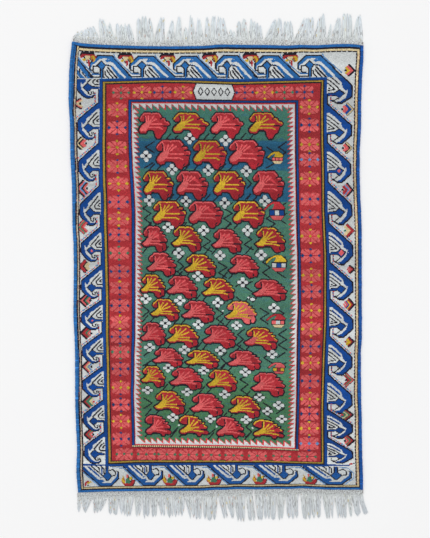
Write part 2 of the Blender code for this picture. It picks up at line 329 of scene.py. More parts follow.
# Leaves of the field: left, right, top and bottom of each, and the wool of its veins.
leaves = (
    (139, 170, 112.5, 139, 0), (173, 209, 112.5, 139, 1), (211, 243.5, 112.5, 139, 0),
    (249, 283, 112.5, 139, 1), (156, 191, 140, 169.5, 0), (193, 227, 140, 169.5, 1),
    (229, 265, 140, 169.5, 0), (142.6, 174, 171, 200, 1), (176, 208.5, 171, 200, 0),
    (213, 245.5, 171, 200, 1), (252.7, 284.3, 171, 200, 0), (153, 186, 201, 228, 1),
    (188.6, 223, 201, 228, 0), (232.8, 265, 201, 228, 1), (142, 167, 226, 252, 0),
    (171.7, 201.8, 226, 252, 1), (212, 242, 229, 253, 0), (254.7, 285.8, 227, 252.5, 1),
    (147, 176, 252.5, 276, 0), (184.5, 216, 254, 277, 1), (228.7, 258.8, 255, 278, 0),
    (140.6, 165.2, 274.3, 297.4, 1), (166.8, 197.4, 275.8, 298.8, 0), (202, 234.5, 278, 300.3, 1),
    (253, 286.7, 279.3, 301.2, 0), (150.6, 179.4, 298.7, 321, 1), (182, 214.4, 300.7, 322.9, 0),
    (225.4, 256.2, 301, 324.3, 2), (141, 165.3, 322.4, 345.3, 0), (167, 198.5, 324.3, 347.6, 1),
    (203, 235.8, 325.3, 348.2, 0), (244.5, 277.4, 327.2, 350.6, 3), (153, 183, 348.2, 366.6, 0),
    (185.7, 219, 350, 368.5, 1), (227.7, 261, 350.5, 370.3, 0), (141.4, 164.8, 365.8, 387, 1),
    (170, 202.3, 367.8, 389.8, 0), (207.3, 236.9, 369.4, 392, 1), (251.8, 284.6, 372.2, 396.6, 0),
    (154, 185.2, 390.7, 414.6, 1), (190.4, 223.4, 393.5, 416.3, 0), (229, 260.2, 395.8, 418.2, 1),
    (145.3, 171.1, 415, 435.7, 0), (179.1, 208.1, 415.3, 436, 1), (216.5, 244.3, 416.8, 437.8, 0),
    (253.3, 283.8, 419.4, 438.8, 1),
)
leafWools = (                      # ground, rim, veins and stem
    ("leafRed", "salmon", "rose", "salmon"), ("leafRed", "yellow", "yellow", "yellow"),
    ("salmon", "yellow", "yellow", "yellow"), ("leafRed", "yellow", "yellow", "salmon"),
)
# A leaf's shape for each part of the field, its corners read off the photo.
leafBox = (33, 26)                 # width and height in which a shape is given
leafShadow = 18                    # its last corners, along the foot, have a broader black line
leafShapes = (                     # the last row it is used to, and its parts in the leaf's box
    (130, {
        "outline": ((0.4, 6.4), (2.6, 3.2), (5.2, 0.4), (12, 0.1), (13.6, 0.9), (15.4, 0.1), (21.4, 0.5),
                    (23.6, 3.4), (24.6, 5), (27.6, 6), (28.6, 8.6), (31.6, 9.3), (32.9, 11.3), (31, 13.2),
                    (29.8, 13.4), (29.2, 16.6), (27.4, 19.6), (24.4, 21.8), (22.4, 25.6), (19.4, 25.8),
                    (17.4, 23), (16.4, 18.6), (14.8, 17.2), (9.2, 17.2), (7.8, 19.4), (6.2, 20.6),
                    (1.6, 20.2), (0, 17.8), (0.8, 15.2), (3.6, 12.4), (7, 9.6), (6.4, 8.4), (4, 9),
                    (1.8, 8.6)),
        "rim": ((1, 6.6), (3, 3.6), (5.5, 1), (12, 0.8), (13.6, 1.6), (15.4, 0.8), (21, 1.2), (23.2, 4)),
        "tips": (((24.2, 5.8), (27, 6.8), (28, 9)), ((29, 9.6), (31.2, 10.2), (32.2, 11.6))),
        "stem": ((0.6, 16.8), (3.8, 12.6), (7.6, 9), (11.4, 9), (11.6, 12), (9.4, 15.6), (6.6, 18.6),
                 (2, 18.6)),
        "veins": (((7.8, 9), (7.2, 4)), ((10, 9), (9.8, 3.4)), ((11.4, 9), (16, 3.6)),
                  ((12, 10), (18.6, 6.4)), ((11.4, 11.6), (24.4, 11.6)),
                  ((9.4, 14.8), (21.6, 14.8), (25, 16.4))),
        "cuts": (((5.8, 4), (6.6, 6), (6.4, 8.8)), ((24.6, 13), (29.6, 13.2)),
                 ((22.6, 6.4), (24.4, 5.4))),
        "lobe": ((17, 19), (22, 16), (29, 15), (28, 19), (24, 21.6), (22, 25.4), (19.4, 25.4)),
    }),
    (222, {
        "outline": ((0.1, 7), (1.4, 4.6), (3.8, 2.3), (6, 0.3), (12.5, 0.1), (13.9, 0.9), (15.2, 0.1),
                    (23, 0.1), (25, 2), (26.6, 4.1), (25.4, 5.9), (29.8, 6), (30.4, 7.6), (27.8, 9.4),
                    (32.4, 9.6), (33, 11.8), (31.8, 14.2), (31.1, 17), (30.4, 20.5), (28.3, 22.8),
                    (25.7, 23.4), (24.2, 25.8), (21, 25.6), (19, 23.4), (17, 20), (15.2, 19.1),
                    (8.4, 18.9), (7, 21.3), (3.6, 21.8), (0.9, 20.2), (0, 17.6), (0.8, 15.4),
                    (3.8, 12.4), (6.8, 9.8), (5.4, 9.2), (1.6, 9.2)),
        "rim": ((0.8, 7), (2, 4.8), (4.2, 2.9), (6.3, 1), (12.6, 0.9), (13.9, 1.7), (15.3, 0.9),
                (22.4, 0.9), (24.6, 3.2), (25.6, 4.6)),
        "tips": (((26.6, 6.6), (29, 6.8)), ((29.6, 10), (31.8, 10.6), (32.2, 11.8))),
        "stem": ((0.2, 17.4), (3.8, 12.8), (7, 9.6), (12, 9.6), (12.6, 11.8), (10.2, 15.4), (7.2, 18),
                 (3.4, 19.4), (1.4, 19)),
        "veins": (((7.9, 9.4), (7.2, 3.4), (6.2, 2.4)), ((10, 9), (12, 4.4)), ((11.4, 9.4), (16.2, 4.2)),
                  ((13.8, 9.6), (19.4, 5.4)), ((13, 12.2), (26, 12.4)),
                  ((7, 16), (22.4, 16), (25.4, 17.4))),
        "cuts": (((5.9, 3.4), (6.8, 6), (6.4, 9.2)), ((26, 13.9), (31.2, 13.8)),
                 ((24.4, 6.4), (26.2, 5.4)), ((27, 9.6), (29, 8.8)), ((26, 22.4), (27.2, 21))),
        "lobe": ((19, 21), (24, 17.4), (30.6, 16.6), (30, 20.4), (28, 22.4), (25, 23), (23.6, 25.4),
                 (21, 25)),
    }),
    (410, {
        "outline": ((2.1, 7.8), (3, 4.8), (6, 2.7), (8, 0.4), (13.1, 0.1), (14.6, 1.1), (16.5, 0.2),
                    (21.1, 0.6), (24.6, 3), (22.8, 5.2), (27.8, 5.8), (25.8, 8.2), (30.6, 9),
                    (28.6, 11), (33, 13.8), (32.4, 15.8), (29.4, 16.2), (31.2, 18), (31.8, 21),
                    (30.6, 24.1), (28.3, 24.1), (27.2, 23.2), (26, 25.6), (23, 26), (20.4, 24),
                    (18.6, 20.9), (17, 19.7), (10, 19.5), (8, 20.6), (2.7, 20.4), (0, 17.8),
                    (4.2, 15), (7.4, 12.5), (9.4, 10.4), (7.5, 10), (4.1, 9.9)),
        "rim": ((3.2, 7), (3.8, 5.2), (6.4, 3.4), (8.4, 1.1), (13.1, 0.9), (14.6, 1.9), (16.5, 1),
                (20.8, 1.4), (23.6, 3.2)),
        "tips": (((24.4, 6.2), (27, 6.6)), ((27, 9), (29.8, 9.8)), ((29.6, 11.8), (32.2, 14.2))),
        "stem": ((0.8, 17.5), (4.4, 15.2), (9.2, 10.2), (13.8, 11.3), (12.4, 14.8), (9, 19), (3.2, 19.6)),
        "veins": (((9.8, 10.4), (9.4, 4.6)), ((10.8, 10.4), (14.2, 4.9)), ((13, 11), (19.4, 5)),
                  ((14.4, 12.4), (22.4, 8.9)), ((12.4, 14.8), (23.4, 15)),
                  ((11, 17.4), (21, 17.6), (26, 19))),
        "cuts": (((7.6, 3.6), (8.3, 6), (8, 9.4)), ((24.4, 16.4), (30.6, 16.3)),
                 ((27, 23.4), (26.6, 20.8))),
        "lobe": ((20.4, 20.6), (25, 19.6), (30, 17), (31.2, 21), (30, 23.6), (26, 25.4), (21.4, 24.6)),
    }),
    (999, {
        "outline": ((0, 6.6), (1.8, 3), (6.5, 0.1), (10.8, 0.1), (17.3, 1.3), (21.6, 2.6), (20, 4.8),
                    (25.4, 5.8), (23.4, 8.4), (28.9, 9.2), (27.2, 11.8), (31.6, 14), (31.4, 16.6),
                    (27.6, 16.6), (26.4, 17.6), (28.2, 19.2), (31.4, 19.6), (33, 21.4), (31.8, 24),
                    (28.9, 23.6), (27, 21.8), (25.3, 23.6), (23.8, 26), (21.7, 25.8),
                    (20.2, 23.1), (18, 22.2), (9, 21.8), (7.2, 23.8), (2.9, 24), (0.7, 21.4), (1.8, 18.7),
                    (5.8, 16), (9, 12.9), (9.6, 10.8), (7.2, 11.1), (2.9, 10.2), (0.7, 8.4)),
        "rim": ((0.9, 6.8), (2.4, 3.8), (6.7, 0.9), (10.8, 0.9), (17, 2.1), (20.4, 3)),
        "tips": (((21.6, 5.8), (24.6, 6.6)), ((25, 9.4), (28, 10)), ((28.4, 12.6), (30.8, 14.6))),
        "stem": ((1, 21), (2, 19), (5.8, 16.6), (9.8, 12.4), (12.4, 12.6), (14.6, 16), (12, 19.6),
                 (7, 21.4), (3, 22)),
        "veins": (((11.2, 13), (11.2, 3)), ((13, 12.6), (16.9, 5.8)), ((15.4, 13.4), (20.4, 8.4)),
                  ((14, 16), (21.8, 14.8)), ((13, 18.6), (20, 19.2), (27, 20.6))),
        "cuts": (((9.4, 3.2), (10, 7), (9.6, 11)), ((25, 17.6), (30.4, 17.2)), ((23.2, 11), (26, 9.8))),
        "lobe": ((20, 21), (26, 20.6), (31.6, 20.6), (32.2, 22), (31, 23.4), (24.4, 23), (22.6, 25.4)),
    }),
)


def leaf(left, right, top, bottom, kind):
    start = charted(left, top)
    end = charted(right, bottom)
    pen = Pen(start, ((end[0] - start[0]) / leafBox[0], 0), (0, (end[1] - start[1]) / leafBox[1]))
    ground, rim, vein, stem = leafWools[kind]
    shape = next(parts for last, parts in leafShapes if top < last)
    outline = shape["outline"]
    pen.closed("black", 2.3, *outline)
    pen.line("black", 3.0, *outline[-leafShadow:])
    pen.fill(ground, *outline)
    if kind != 2:
        pen.fill("crimson", *shape["lobe"])
    pen.line(rim, 1.0, *shape["rim"])
    pen.fill(stem, *shape["stem"])
    for points in shape.get("tips", ()):
        pen.line(rim, 0.9, *points)
    if kind == 0:
        pen.fill("clay", *shape["veins"][0][::-1], *[points[-1] for points in shape["veins"][1:-1]])
    for points in shape["veins"]:
        pen.line(vein, 1.25, *points)
    for points in shape["cuts"]:
        pen.line("black", 1.2, *points)


whiteFlowers = (
    (189.6, 138.6), (225.6, 140.5), (146.2, 156.1), (172, 169.4), (208.3, 170.4), (246.3, 171.1),
    (149.3, 200.5), (186, 201), (224.6, 203), (264.9, 201), (168, 227.3), (203.6, 230.4),
    (247.6, 230.4), (178.9, 253), (220, 255.6), (261.3, 255.1), (197.8, 276.3), (242.7, 282.4),
    (145.9, 298.8), (179.9, 300.5), (217.7, 302.6), (273.9, 307.9), (165.4, 323.3),
    (198.3, 324.5), (236.6, 325.5), (149.6, 347.4), (184.3, 349.8), (220.5, 350.5),
    (272.2, 354.4), (168.2, 367.9), (203.9, 370.4), (245.3, 372), (147.6, 390.1), (187, 391.8),
    (224.6, 394.4), (259.5, 397.4), (278.5, 405.1), (267.4, 411.2), (172.8, 417.3),
    (210.4, 418.7), (246.2, 419.5), (281.7, 419),
)


def whiteFlower(column, row):
    low = np.interp(row, (140, 240, 310, 420), (1.0, 0.96, 0.86, 0.72)) * random.uniform(0.96, 1.04)
    pen = Pen(charted(column, row), (random.uniform(0.95, 1.03), 0), (0, low))
    petals = ((0, -3.5, 2.3, 2.1), (0, 3.5, 2.3, 2.1), (-3.45, 0, 2.2, 2.0), (3.45, 0, 2.2, 2.0))
    for x, y, across, down in petals:
        pen.diamond("black", (x, y), across + 1.2, down + 1.2)
    for x, y, across, down in petals:
        pen.fill("ivory", (x - across, y - 0.5), (x - across * 0.5, y - down), (x + across * 0.5, y - down),
                 (x + across, y - 0.5), (x + across, y + 0.5), (x + across * 0.5, y + down),
                 (x - across * 0.5, y + down), (x - across, y + 0.5))
    pen.spot("black", (0, 0), 0.8)


twig = {
    "width": 1.35,
    "foot": ((-2.5, 6.5), (4.0, 4.5)),    # slanting twigs under a leaf's foot: start and reach
    "slant": 0.85,                 # columns to the left for each row down
    "gap": 6.0,                    # a zigzag runs down any wider gap between two leaves of a row
    "double": 17.0,                # and two run down one as wide as this
    "step": 5.2,                   # rows from bend to bend
    "swing": 4.0,                  # and how far it swings to either side
    "missing": 0.22,               # share of its stretches that are left out
    "field": (142.0, 288.0),       # columns between which they are drawn
}


def zigzag(middle, top, bottom, swing):
    count = int((bottom - top) / twig["step"]) + 1
    bends = [charted(middle + swing * (-1) ** k + twigDice.uniform(-0.8, 0.8), top + k * twig["step"])
             for k in range(count)]
    for a, b in zip(bends, bends[1:]):
        if twigDice.random() > twig["missing"]:
            chalk.line("black", twig["width"], a, b)


def twigs():
    for k, (left, right, top, bottom, _) in enumerate(leaves):
        last = leaves[k - 1][1] if k and leaves[k - 1][1] < left else twig["field"][0]
        gaps = [(last, left)]
        if k + 1 == len(leaves) or leaves[k + 1][0] < right:
            gaps.append((right, twig["field"][1]))
        for low, high in gaps:
            if high - low > twig["gap"]:
                count = 2 if high - low > twig["double"] else 1
                share = (high - low) / count
                swing = min(share / 2 - 1.2, twig["swing"])
                for j in range(count):
                    zigzag(low + (j + 0.5) * share, top + 2, bottom + 1, swing)
        for start, reach in twig["foot"]:
            x = left + start + twigDice.uniform(-1, 1)
            end = x - reach * twig["slant"]
            if end > twig["field"][0]:
                chalk.line("black", twig["width"], charted(x, bottom + 1 - reach),
                           charted(end, bottom + 1))


buds = ((223, 310.8), (178.8, 425.1), (216.5, 426.5), (252.5, 428), (248.5, 297.4))

# Bells at the field's right side: middle, half width and half height, the wools of the roof, the
# windows and the foot.
bells = (
    (277.0, 158.0, 6.4, 6.0, "yellow", ("salmon", "salmon", "salmon"), "sand"),
    (276.5, 211.0, 8.8, 9.4, "red", ("navy", "ivory", "navy"), "salmon"),
    (278.5, 263.5, 8.6, 8.2, "yellow", ("ivory", "navy", "ivory"), "salmon"),
    (277.8, 320.8, 7.6, 7.0, "red", ("salmon", "ivory", "salmon"), "sand"),
    (278.4, 368.4, 6.8, 5.8, "salmon", ("yellow", "red", "yellow"), "salmon"),
)


def bell(column, row, half, high, roof, windows, foot):
    pen = Pen(charted(column, row), (half / 10, 0), (0, high / 10))
    pen.fill("black", (-8.5, -2), (9.5, -2), (9.5, 4.8), (5.5, 10), (-4.5, 10), (-8.5, 4.8))
    pen.line("black", 2.6, (-14, -1), (-9, -6), (-4, -9), (3, -9), (9, -3))
    pen.line(roof, 1.6, (-13.6, -1.4), (-9, -6), (-4, -8.6), (3, -8.6), (8.4, -3.4))
    pen.fill(roof, (-5, -1.6), (-1.6, -8.6), (3, -9), (9, -1.6))
    for k, name in enumerate(windows):
        x = -7.6 + 5.6 * k
        pen.fill(name, (x, -0.4), (x + 4.8, -0.4), (x + 4.8, 4.4), (x, 4.4))
    pen.fill(foot, (-7.6, 5.2), (8.6, 5.2), (5, 9.2), (-4, 9.2))


def field():
    twigs()
    for each in leaves:
        leaf(*each)
    for at in whiteFlowers:
        whiteFlower(*at)
    for each in bells:
        bell(*each)
    chalk.spot("black", charted(252.4, 299.3), 3.4, 2.4)
    chalk.spot("ivory", charted(252.4, 299.3), 2.5, 1.6)
    for at in buds:
        chalk.spot("ivory", charted(*at), 0.95)


# Rosettes of the middle border: centre and the wool of its five dots.
dotWool = {"Y": "yellow", "B": "deep", "G": "leafGreen", "L": "lightBlue"}
rosettes = {
    "left": ((117.3, 109.7, "Y"), (117.2, 127.6, "B"), (117.1, 147.4, "Y"), (117.4, 166.3, "YYBB"),
             (118.4, 183.7, "Y"), (118.6, 202, "B"), (118.8, 218.9, "Y"), (119, 234.7, "B"),
             (119.2, 253, "G"), (119.5, 271.4, "B"), (119.7, 287.8, "B-YB"), (119.8, 305.6, "B"),
             (120, 322, "Y-"), (120.1, 336.7, "B"), (120.3, 352, "G"), (120.5, 368.9, "B"),
             (120.7, 387.6, "YYYB"), (120.9, 404.6, "B"), (121, 421.2, "Y"), (121.2, 438.9, "B")),
    "right": ((309.3, 107, "Y"), (309.4, 125, "B"), (309.5, 144.4, "Y"), (309.6, 159.7, "LLBB"),
              (309.8, 178.6, "Y"), (309.9, 199, "BB--"), (310, 217.3, "B"), (310.3, 236.2, "Y"),
              (310.8, 255.6, "B"), (311.2, 275.3, "Y"), (311.5, 291.5, "B"), (311.3, 310.5, "Y"),
              (311, 329, "Y"), (310.7, 346.4, "B"), (310.4, 362.8, "Y"), (310, 381, "B"),
              (309.7, 399, "Y"), (309.4, 413.8, "B"), (309.2, 428.4, "Y"), (309.1, 443.5, "LLBB")),
    "top": ((121, 92.7, "G"), (142, 92.4, "Y"), (162.4, 92.3, "B"), (183, 92.3, "Y"),
            (244.7, 92.5, "B"), (264.6, 92.5, "Y"), (284.5, 92.3, "G"), (304.5, 92, "B")),
    "bottom": ((124.3, 454, "G"), (146.5, 454.1, "G"), (166.8, 454.3, "G"), (188.6, 454.6, "G"),
               (211.3, 454.9, "G"), (233.8, 455.3, "G"), (257.4, 455.8, "G"), (281.7, 456.2, "G"),
               (307.2, 456.6, "G")),
}
rosetteShape = ((-5.8, -6.6), (-1.8, -6.2), (0, -4.2), (1.8, -6.2), (5.8, -6.6), (9, -5.6),
                (9.6, -3.2), (7.4, -1.2), (7.4, 1.2), (9.6, 3.2), (9, 5.6), (5.8, 6.8), (1.8, 6.4),
                (0, 4.6), (-1.8, 6.4), (-5.8, 6.8), (-9, 5.6), (-9.6, 3.2), (-7.4, 1.2),
                (-7.4, -1.2), (-9.6, -3.2), (-9, -5.6))


def rosette(column, row, dots, wide, high):
    pen = Pen(charted(column, row), (wide, 0), (0, high))
    pen.fill("salmon", *rosetteShape)
    for x, y in ((-1, -1), (1, -1), (-1, 1), (1, 1)):
        pen.line("clay", 0.9, (x * 1.2, y * 1.1), (x * 5.4, y * 5.0))
        pen.line("red", 1.2, (x * 5.4, y * 5.0), (x * 7.4, y * 6.8))
    pen.line("clay", 1.0, (-8, 0), (8, 0))
    pen.line("clay", 1.0, (0, -6), (0, 6))
    beside = (dots + dots[0])[1]
    above, below = (dots[2:] or dots[0] * 2) if high > 0.8 else "--"
    for name, x, y, across, down in ((dots[0], 0, 0, 1.8, 1.9), (beside, -8.2, 0, 1.9, 1.9),
                                     (beside, 8.2, 0, 1.9, 1.9), (above, 0, -6.6, 1.8, 1.3),
                                     (below, 0, 7, 1.8, 1.3)):
        if name != "-":
            pen.diamond(dotWool[name], (x, y), across, down)


def rosetteBorder():
    for side, wide, high in (("left", 1.0, 0.95), ("right", 1.0, 0.97), ("top", 0.95, 0.84),
                             ("bottom", 1.0, 0.8)):
        for column, row, dots in rosettes[side]:
            rosette(column, row, dots, wide, high)
    pen = Pen(charted(214, 91.8))  # panel in the top border, with a plain row of lozenges
    pen.fill("black", (-21, 0), (-18, -8), (18, -8), (21, 0), (18, 8), (-18, 8))
    pen.fill("ivory", (-20, 0), (-17.2, -7.2), (17.2, -7.2), (20, 0), (17.2, 7.2), (-17.2, 7.2))
    for k in range(-2, 3):
        pen.closed("black", 0.95, (k * 6.6 - 2.4, 0), (k * 6.6, -3.8), (k * 6.6 + 2.4, 0), (k * 6.6, 3.8))


# Running wave of the outer border. Each unit is drawn along the border from its diamond, its
# second number being the height above the navy base line. A shape is its wool, the width of its
# line (none for a filled one) and its points.
waves = {
    "top": (
        ("navy", 0, (-11.3, 9.5), (-11.4, 14.8), (-3.6, 22.4), (10.9, 22.4), (32.5, 0), (16.8, 0),
         (12, 7.4),
         (9.6, 11.6), (5, 14.5), (1, 18), (-1, 18.2), (-3.6, 15), (-6, 13.6), (-9.4, 12), (-9.4, 9.5)),
        ("black", 1.5, (-8.6, 8), (-10.6, 8), (-12, 9.8), (-11.9, 15), (-3.7, 23), (11, 23), (31, 2)),
        ("black", 0.9, (31, 1.8), (44, 1.4)),
        ("ivory", 0, (-10.3, 9), (-10.1, 12.8), (-6.8, 14.8), (-1.7, 19.6), (4.5, 20.2),
         (8.8, 18.8), (5.4, 16.2),
         (8, 17), (11.4, 16.2), (14, 13.6), (19.4, 7.8), (25.8, 1.2), (24.8, -0.2), (23.2, 0.9),
         (17.6, 6),
         (12.2, 12), (9.5, 13.4), (5.5, 14.6), (3.5, 15.4), (1.2, 18.2), (-1, 18.2), (-3.6, 15),
         (-6, 13.6),
         (-9.3, 12), (-9.3, 9)),
        ("navy", 0, (3.7, 18), (6, 19.5), (9.2, 18.2), (6.6, 16.2), (5, 15.9)),
        ("navy", 1.7, (10.6, 12.2), (13.1, 8.7), (18.4, 0.9)),
        ("ivory", 1.1, (8.2, 12), (11.7, 7.6), (16.8, 0.8)),
        ("black", 1.3, (4.2, 13.4), (9.6, 12.4)),
        ("black", 1.8, (6.6, 10.9), (10.4, 6.4), (16, 0.7)),
        ("black", 1.6, (5.4, 8.4), (8, 4.7), (11.8, 0.7)),
        ("black", 1.4, (3.2, 7.2), (3.8, 3.7), (7, 0.7)),
        ("black", 0, (-5.3, 13.2), (-0.3, 18.3), (4.8, 13.4), (2.3, 9.6), (2.1, 0.8), (-1.8, 0.8),
         (-1.9, 9.4)),
        ("navy", 0, (-3.7, 13.2), (-0.3, 16.6), (3.2, 13.2), (0.9, 9.8), (0.8, 0), (-0.6, 0),
         (-0.6, 9.8)),
        ("black", 1.5, (-4, 12.4), (-8, 12)),
        ("black", 1.4, (-8.6, 12), (-8.6, 6.6), (-7.4, 5.8), (-3.6, 5.4)),
        ("black", 1.2, (-13, 3.6), (-10.4, 1.3), (-1.4, 1.1), (-0.9, 9)),
        ("navy", 0.9, (-9.6, 4.2), (-2.6, 4.2)),
        ("lightBlue", 1.2, (12.8, 24), (14, 21), (18, 17), (29, 7.2), (31.6, 4.8), (42, 4.3)),
    ),
    "bottom": (
        ("navy", 0, (-11.8, 6), (-11.6, 12.5), (-4, 19.6), (7.2, 19.4), (28, 0), (16, 0), (8, 10.5),
         (4, 12),
         (2, 14), (-2, 14.6), (-4, 11), (-9.4, 9.5), (-9.4, 6)),
        ("black", 1.3, (-9.8, 5.4), (-12, 6.4), (-12.2, 12.6), (-4.3, 20), (7.2, 20), (28.4, 0.6),
         (42, 0.2)),
        ("ivory", 0, (-10.4, 5.6), (-10, 10.2), (-3, 17.2), (2, 17), (5.2, 16.6), (3, 15.2), (5.4, 13.2),
         (8, 13.8), (10, 12.6), (24.4, -0.6), (22, -0.8), (8.5, 11), (6.2, 10.4), (3.4, 12.2),
         (2, 14.2), (-2, 14.6),
         (-4, 11), (-9.2, 9.6), (-9.2, 5.6)),
        ("navy", 0.9, (5.4, 11.2), (7.2, 11.6)),
        ("ivory", 1.4, (7, 8.8), (17, 0.4)),
        ("navy", 1.3, (8.4, 9.6), (12.5, 6.6), (18.8, 0.6)),
        ("black", 1.3, (4, 10.4), (6, 8.8), (8.6, 6.2), (13, 2.8), (16, -0.2)),
        ("black", 1.2, (3.6, 7), (3.6, 2.6), (7, -0.4)),
        ("navy", 1.2, (5.6, 7.6), (5.6, 2.4)),
        ("black", 1.2, (7.8, 5), (8, 2.4), (11.8, -0.6)),
        ("black", 0, (-5, 10.2), (-0.9, 15.2), (0.9, 15.2), (5, 10.2), (1.9, 6.2), (1.9, 0),
         (-1.4, 0), (-1.5, 6.2)),
        ("navy", 0, (-4.1, 10.2), (-0.4, 14), (0.4, 14), (4.1, 10.2), (1.2, 6.6), (1.1, 0),
         (-0.7, 0), (-0.7, 6.6)),
        ("black", 1.2, (-3.8, 10.2), (-8.2, 9.4), (-8.4, 6), (-5.6, 3.2), (-2, 4.6)),
        ("lightBlue", 1.1, (7.4, 21), (28.6, 2.2), (40, 1.8)),
    ),
    "left": (
        ("navy", 0, (36, -0.2), (36, 0.7), (22.9, 0.9), (15.2, 10.6), (7.4, 20.2), (6, 20.8),
         (-1.6, 20.9),
         (-5.3, 17.8), (-8.2, 15.3), (-9.8, 13), (-10.5, 11), (-10.2, 7.2), (-8, 5), (-7, 9.5),
         (-4.4, 11), (1, 7), (1, 0)),
        ("ivory", 0, (17.8, 0), (17.2, 2.3), (15, 4.7), (13.1, 7.2), (11.1, 8.8), (10, 11.1), (8.2, 12.6),
         (5.7, 13.2), (3.3, 15.2), (3.6, 16.6), (5.2, 16.9), (4.8, 17.5), (1.6, 17.3), (-2.2, 16.6),
         (-4.7, 14.3), (-7.4, 12), (-8.4, 10.3), (-8.6, 7.6), (-8.2, 6), (-7.2, 9.4), (-4.4, 11),
         (1, 7), (1, 0)),
        ("black", 1.2, (-4.2, 6), (-6.6, 5), (-8.6, 5), (-10.4, 7.2), (-10.9, 11.2), (-10, 13.5),
         (-8.5, 15.8), (-5.6, 18.3), (-1.8, 21.3), (6.2, 21.2), (7.8, 20.4), (15.4, 11.2),
         (23.2, 1.2), (36, 1.1)),
        ("black", 1.35, (14.2, 2.9), (5, 11.3)),
        ("black", 1.2, (11, 1.4), (8.5, 4.2), (6.3, 6.4), (5.1, 6.4), (3.3, 4.8), (3.3, 0.8)),
        ("black", 1.2, (8.3, 1), (6.4, 3), (5.8, 1.4)),
        ("black", 0, (4.9, 11.1), (0.2, 16), (-4.9, 11.1), (-1.5, 6.9), (-1.4, 0.6), (1.3, 0.6),
         (1.5, 6.9)),
        ("navy", 0, (3.7, 11.1), (0, 14.8), (-3.7, 11.1), (-0.7, 7), (-0.7, -0.4), (0.6, -0.4), (0.7, 7)),
        ("black", 1.1, (-4.4, 10.4), (-6.4, 10), (-7.2, 8.4), (-6.2, 7), (-4.4, 7.6)),
    ),
    "right": (
        ("navy", 0, (-11.6, 10.2), (-11.9, 14.8), (-8.4, 18.8), (-3, 24.5), (7.1, 24.1), (9.8, 21.4),
         (20.4, 9.5), (29, 0), (20.2, -0.2), (20, 2.8), (15.2, 8.9), (9.9, 14.2), (5.4, 15.2),
         (2.4, 18.4),
         (3.4, 20.2), (0.9, 20.4), (-4.2, 18.4), (-9.6, 13), (-10.2, 10.2)),
        ("black", 1.5, (-8.8, 4.8), (-10.6, 8.2), (-11.9, 10), (-12.1, 15), (-8.6, 19.2),
         (-3.1, 25), (7.3, 24.6),
         (10, 21.8), (20.6, 9.9), (29.2, 0.6), (38, 0.3)),
        ("black", 1.15, (17.3, -0.4), (16, 2.4), (12, 7.7), (8.5, 11.6), (8.9, 12)),
        ("black", 1.2, (13.3, -0.4), (11.6, 2.8), (7.1, 8.6), (4.6, 11.4)),
        ("black", 1.15, (9.8, 0), (7.6, 2.8), (3.8, 7.7), (2.7, 0.6)),
        ("black", 1.1, (4.9, 1.6), (4.9, 2.8)),
        ("black", 0, (4.6, 11.7), (0.4, 18.3), (-5.8, 12.6), (-2.2, 8), (-2.6, 0.8), (0.9, 0.8),
         (1.2, 7.8)),
        ("navy", 0, (3.2, 11.7), (0.1, 16.4), (-4.4, 12.6), (-1.4, 8.4), (-1.8, -0.4), (-0.1, -0.4),
         (0.2, 8)),
        ("black", 1.1, (-4.8, 11.6), (-6.1, 10.4), (-8.6, 7.2), (-8.8, 4.8)),
        ("black", 0.9, (-3.4, 3.6), (-7, 3.4), (-8.6, 4.8)),
    ),
}
waveSides = {                      # base line and the pitch that its shapes were drawn at
    "top": (78.5, 42.5), "bottom": (465.4, 42.5), "left": (102.5, 37.0), "right": (328.0, 40.5),
}
waveDiamonds = {
    "top": (64.0, 101.7, 142.1, 185.3, 227.1, 267.1, 309.8),
    "bottom": (107.5, 150.6, 192.3, 236.8, 284.1, 336.2),
    "left": (87.6, 128, 169.4, 213, 250.7, 287.8, 320.4, 353.6, 387.2, 421.2, 454),
    "right": (93.6, 132.4, 170.9, 212.2, 252.6, 288.8, 326, 363.8, 402, 429.9, 455.9),
}
waveDots = {                       # along the slope, then up beside the base
    "left": ((9.2, 22), (22.6, 4.9), (24, 3.9), (32.4, 4)),
    "right": ((10.6, 24), (29.4, 3.2), (31, 3.8), (39, 4)),
}
waveHearts = {("left", 4): 1.4, ("left", 6): 1.3, ("right", 2): 2.0, ("right", 4): 3.2}
shortHooks = {("right", 0): 0.74, ("left", 10): 0.86}    # squeezed below their diamonds


def borderPen(side, at, stretch=1.0):
    base = waveSides[side][0]
    if side in ("top", "bottom"):
        way = 1 if side == "top" else -1
        return Pen((charted(at, 65 if side == "top" else 476)[0], base), (way * stretch, 0), (0, -way))
    out = -1 if side == "left" else 1
    return Pen((base, charted(90 if side == "left" else 341, at)[1]), (0, -stretch), (out, 0))


def draw(pen, shapes):
    for name, width, *points in shapes:
        if width:
            pen.line(name, width, *points)
        else:
            pen.fill(name, *points)


def dotted(pen, names, start, end, gap, size):
    start, end = np.array(start, dtype=float), np.array(end, dtype=float)
    count = int(np.hypot(*(end - start)) / gap)
    for k in range(count + 1):
        pen.spot(names[k % len(names)], start + (end - start) * k / max(count, 1), size)


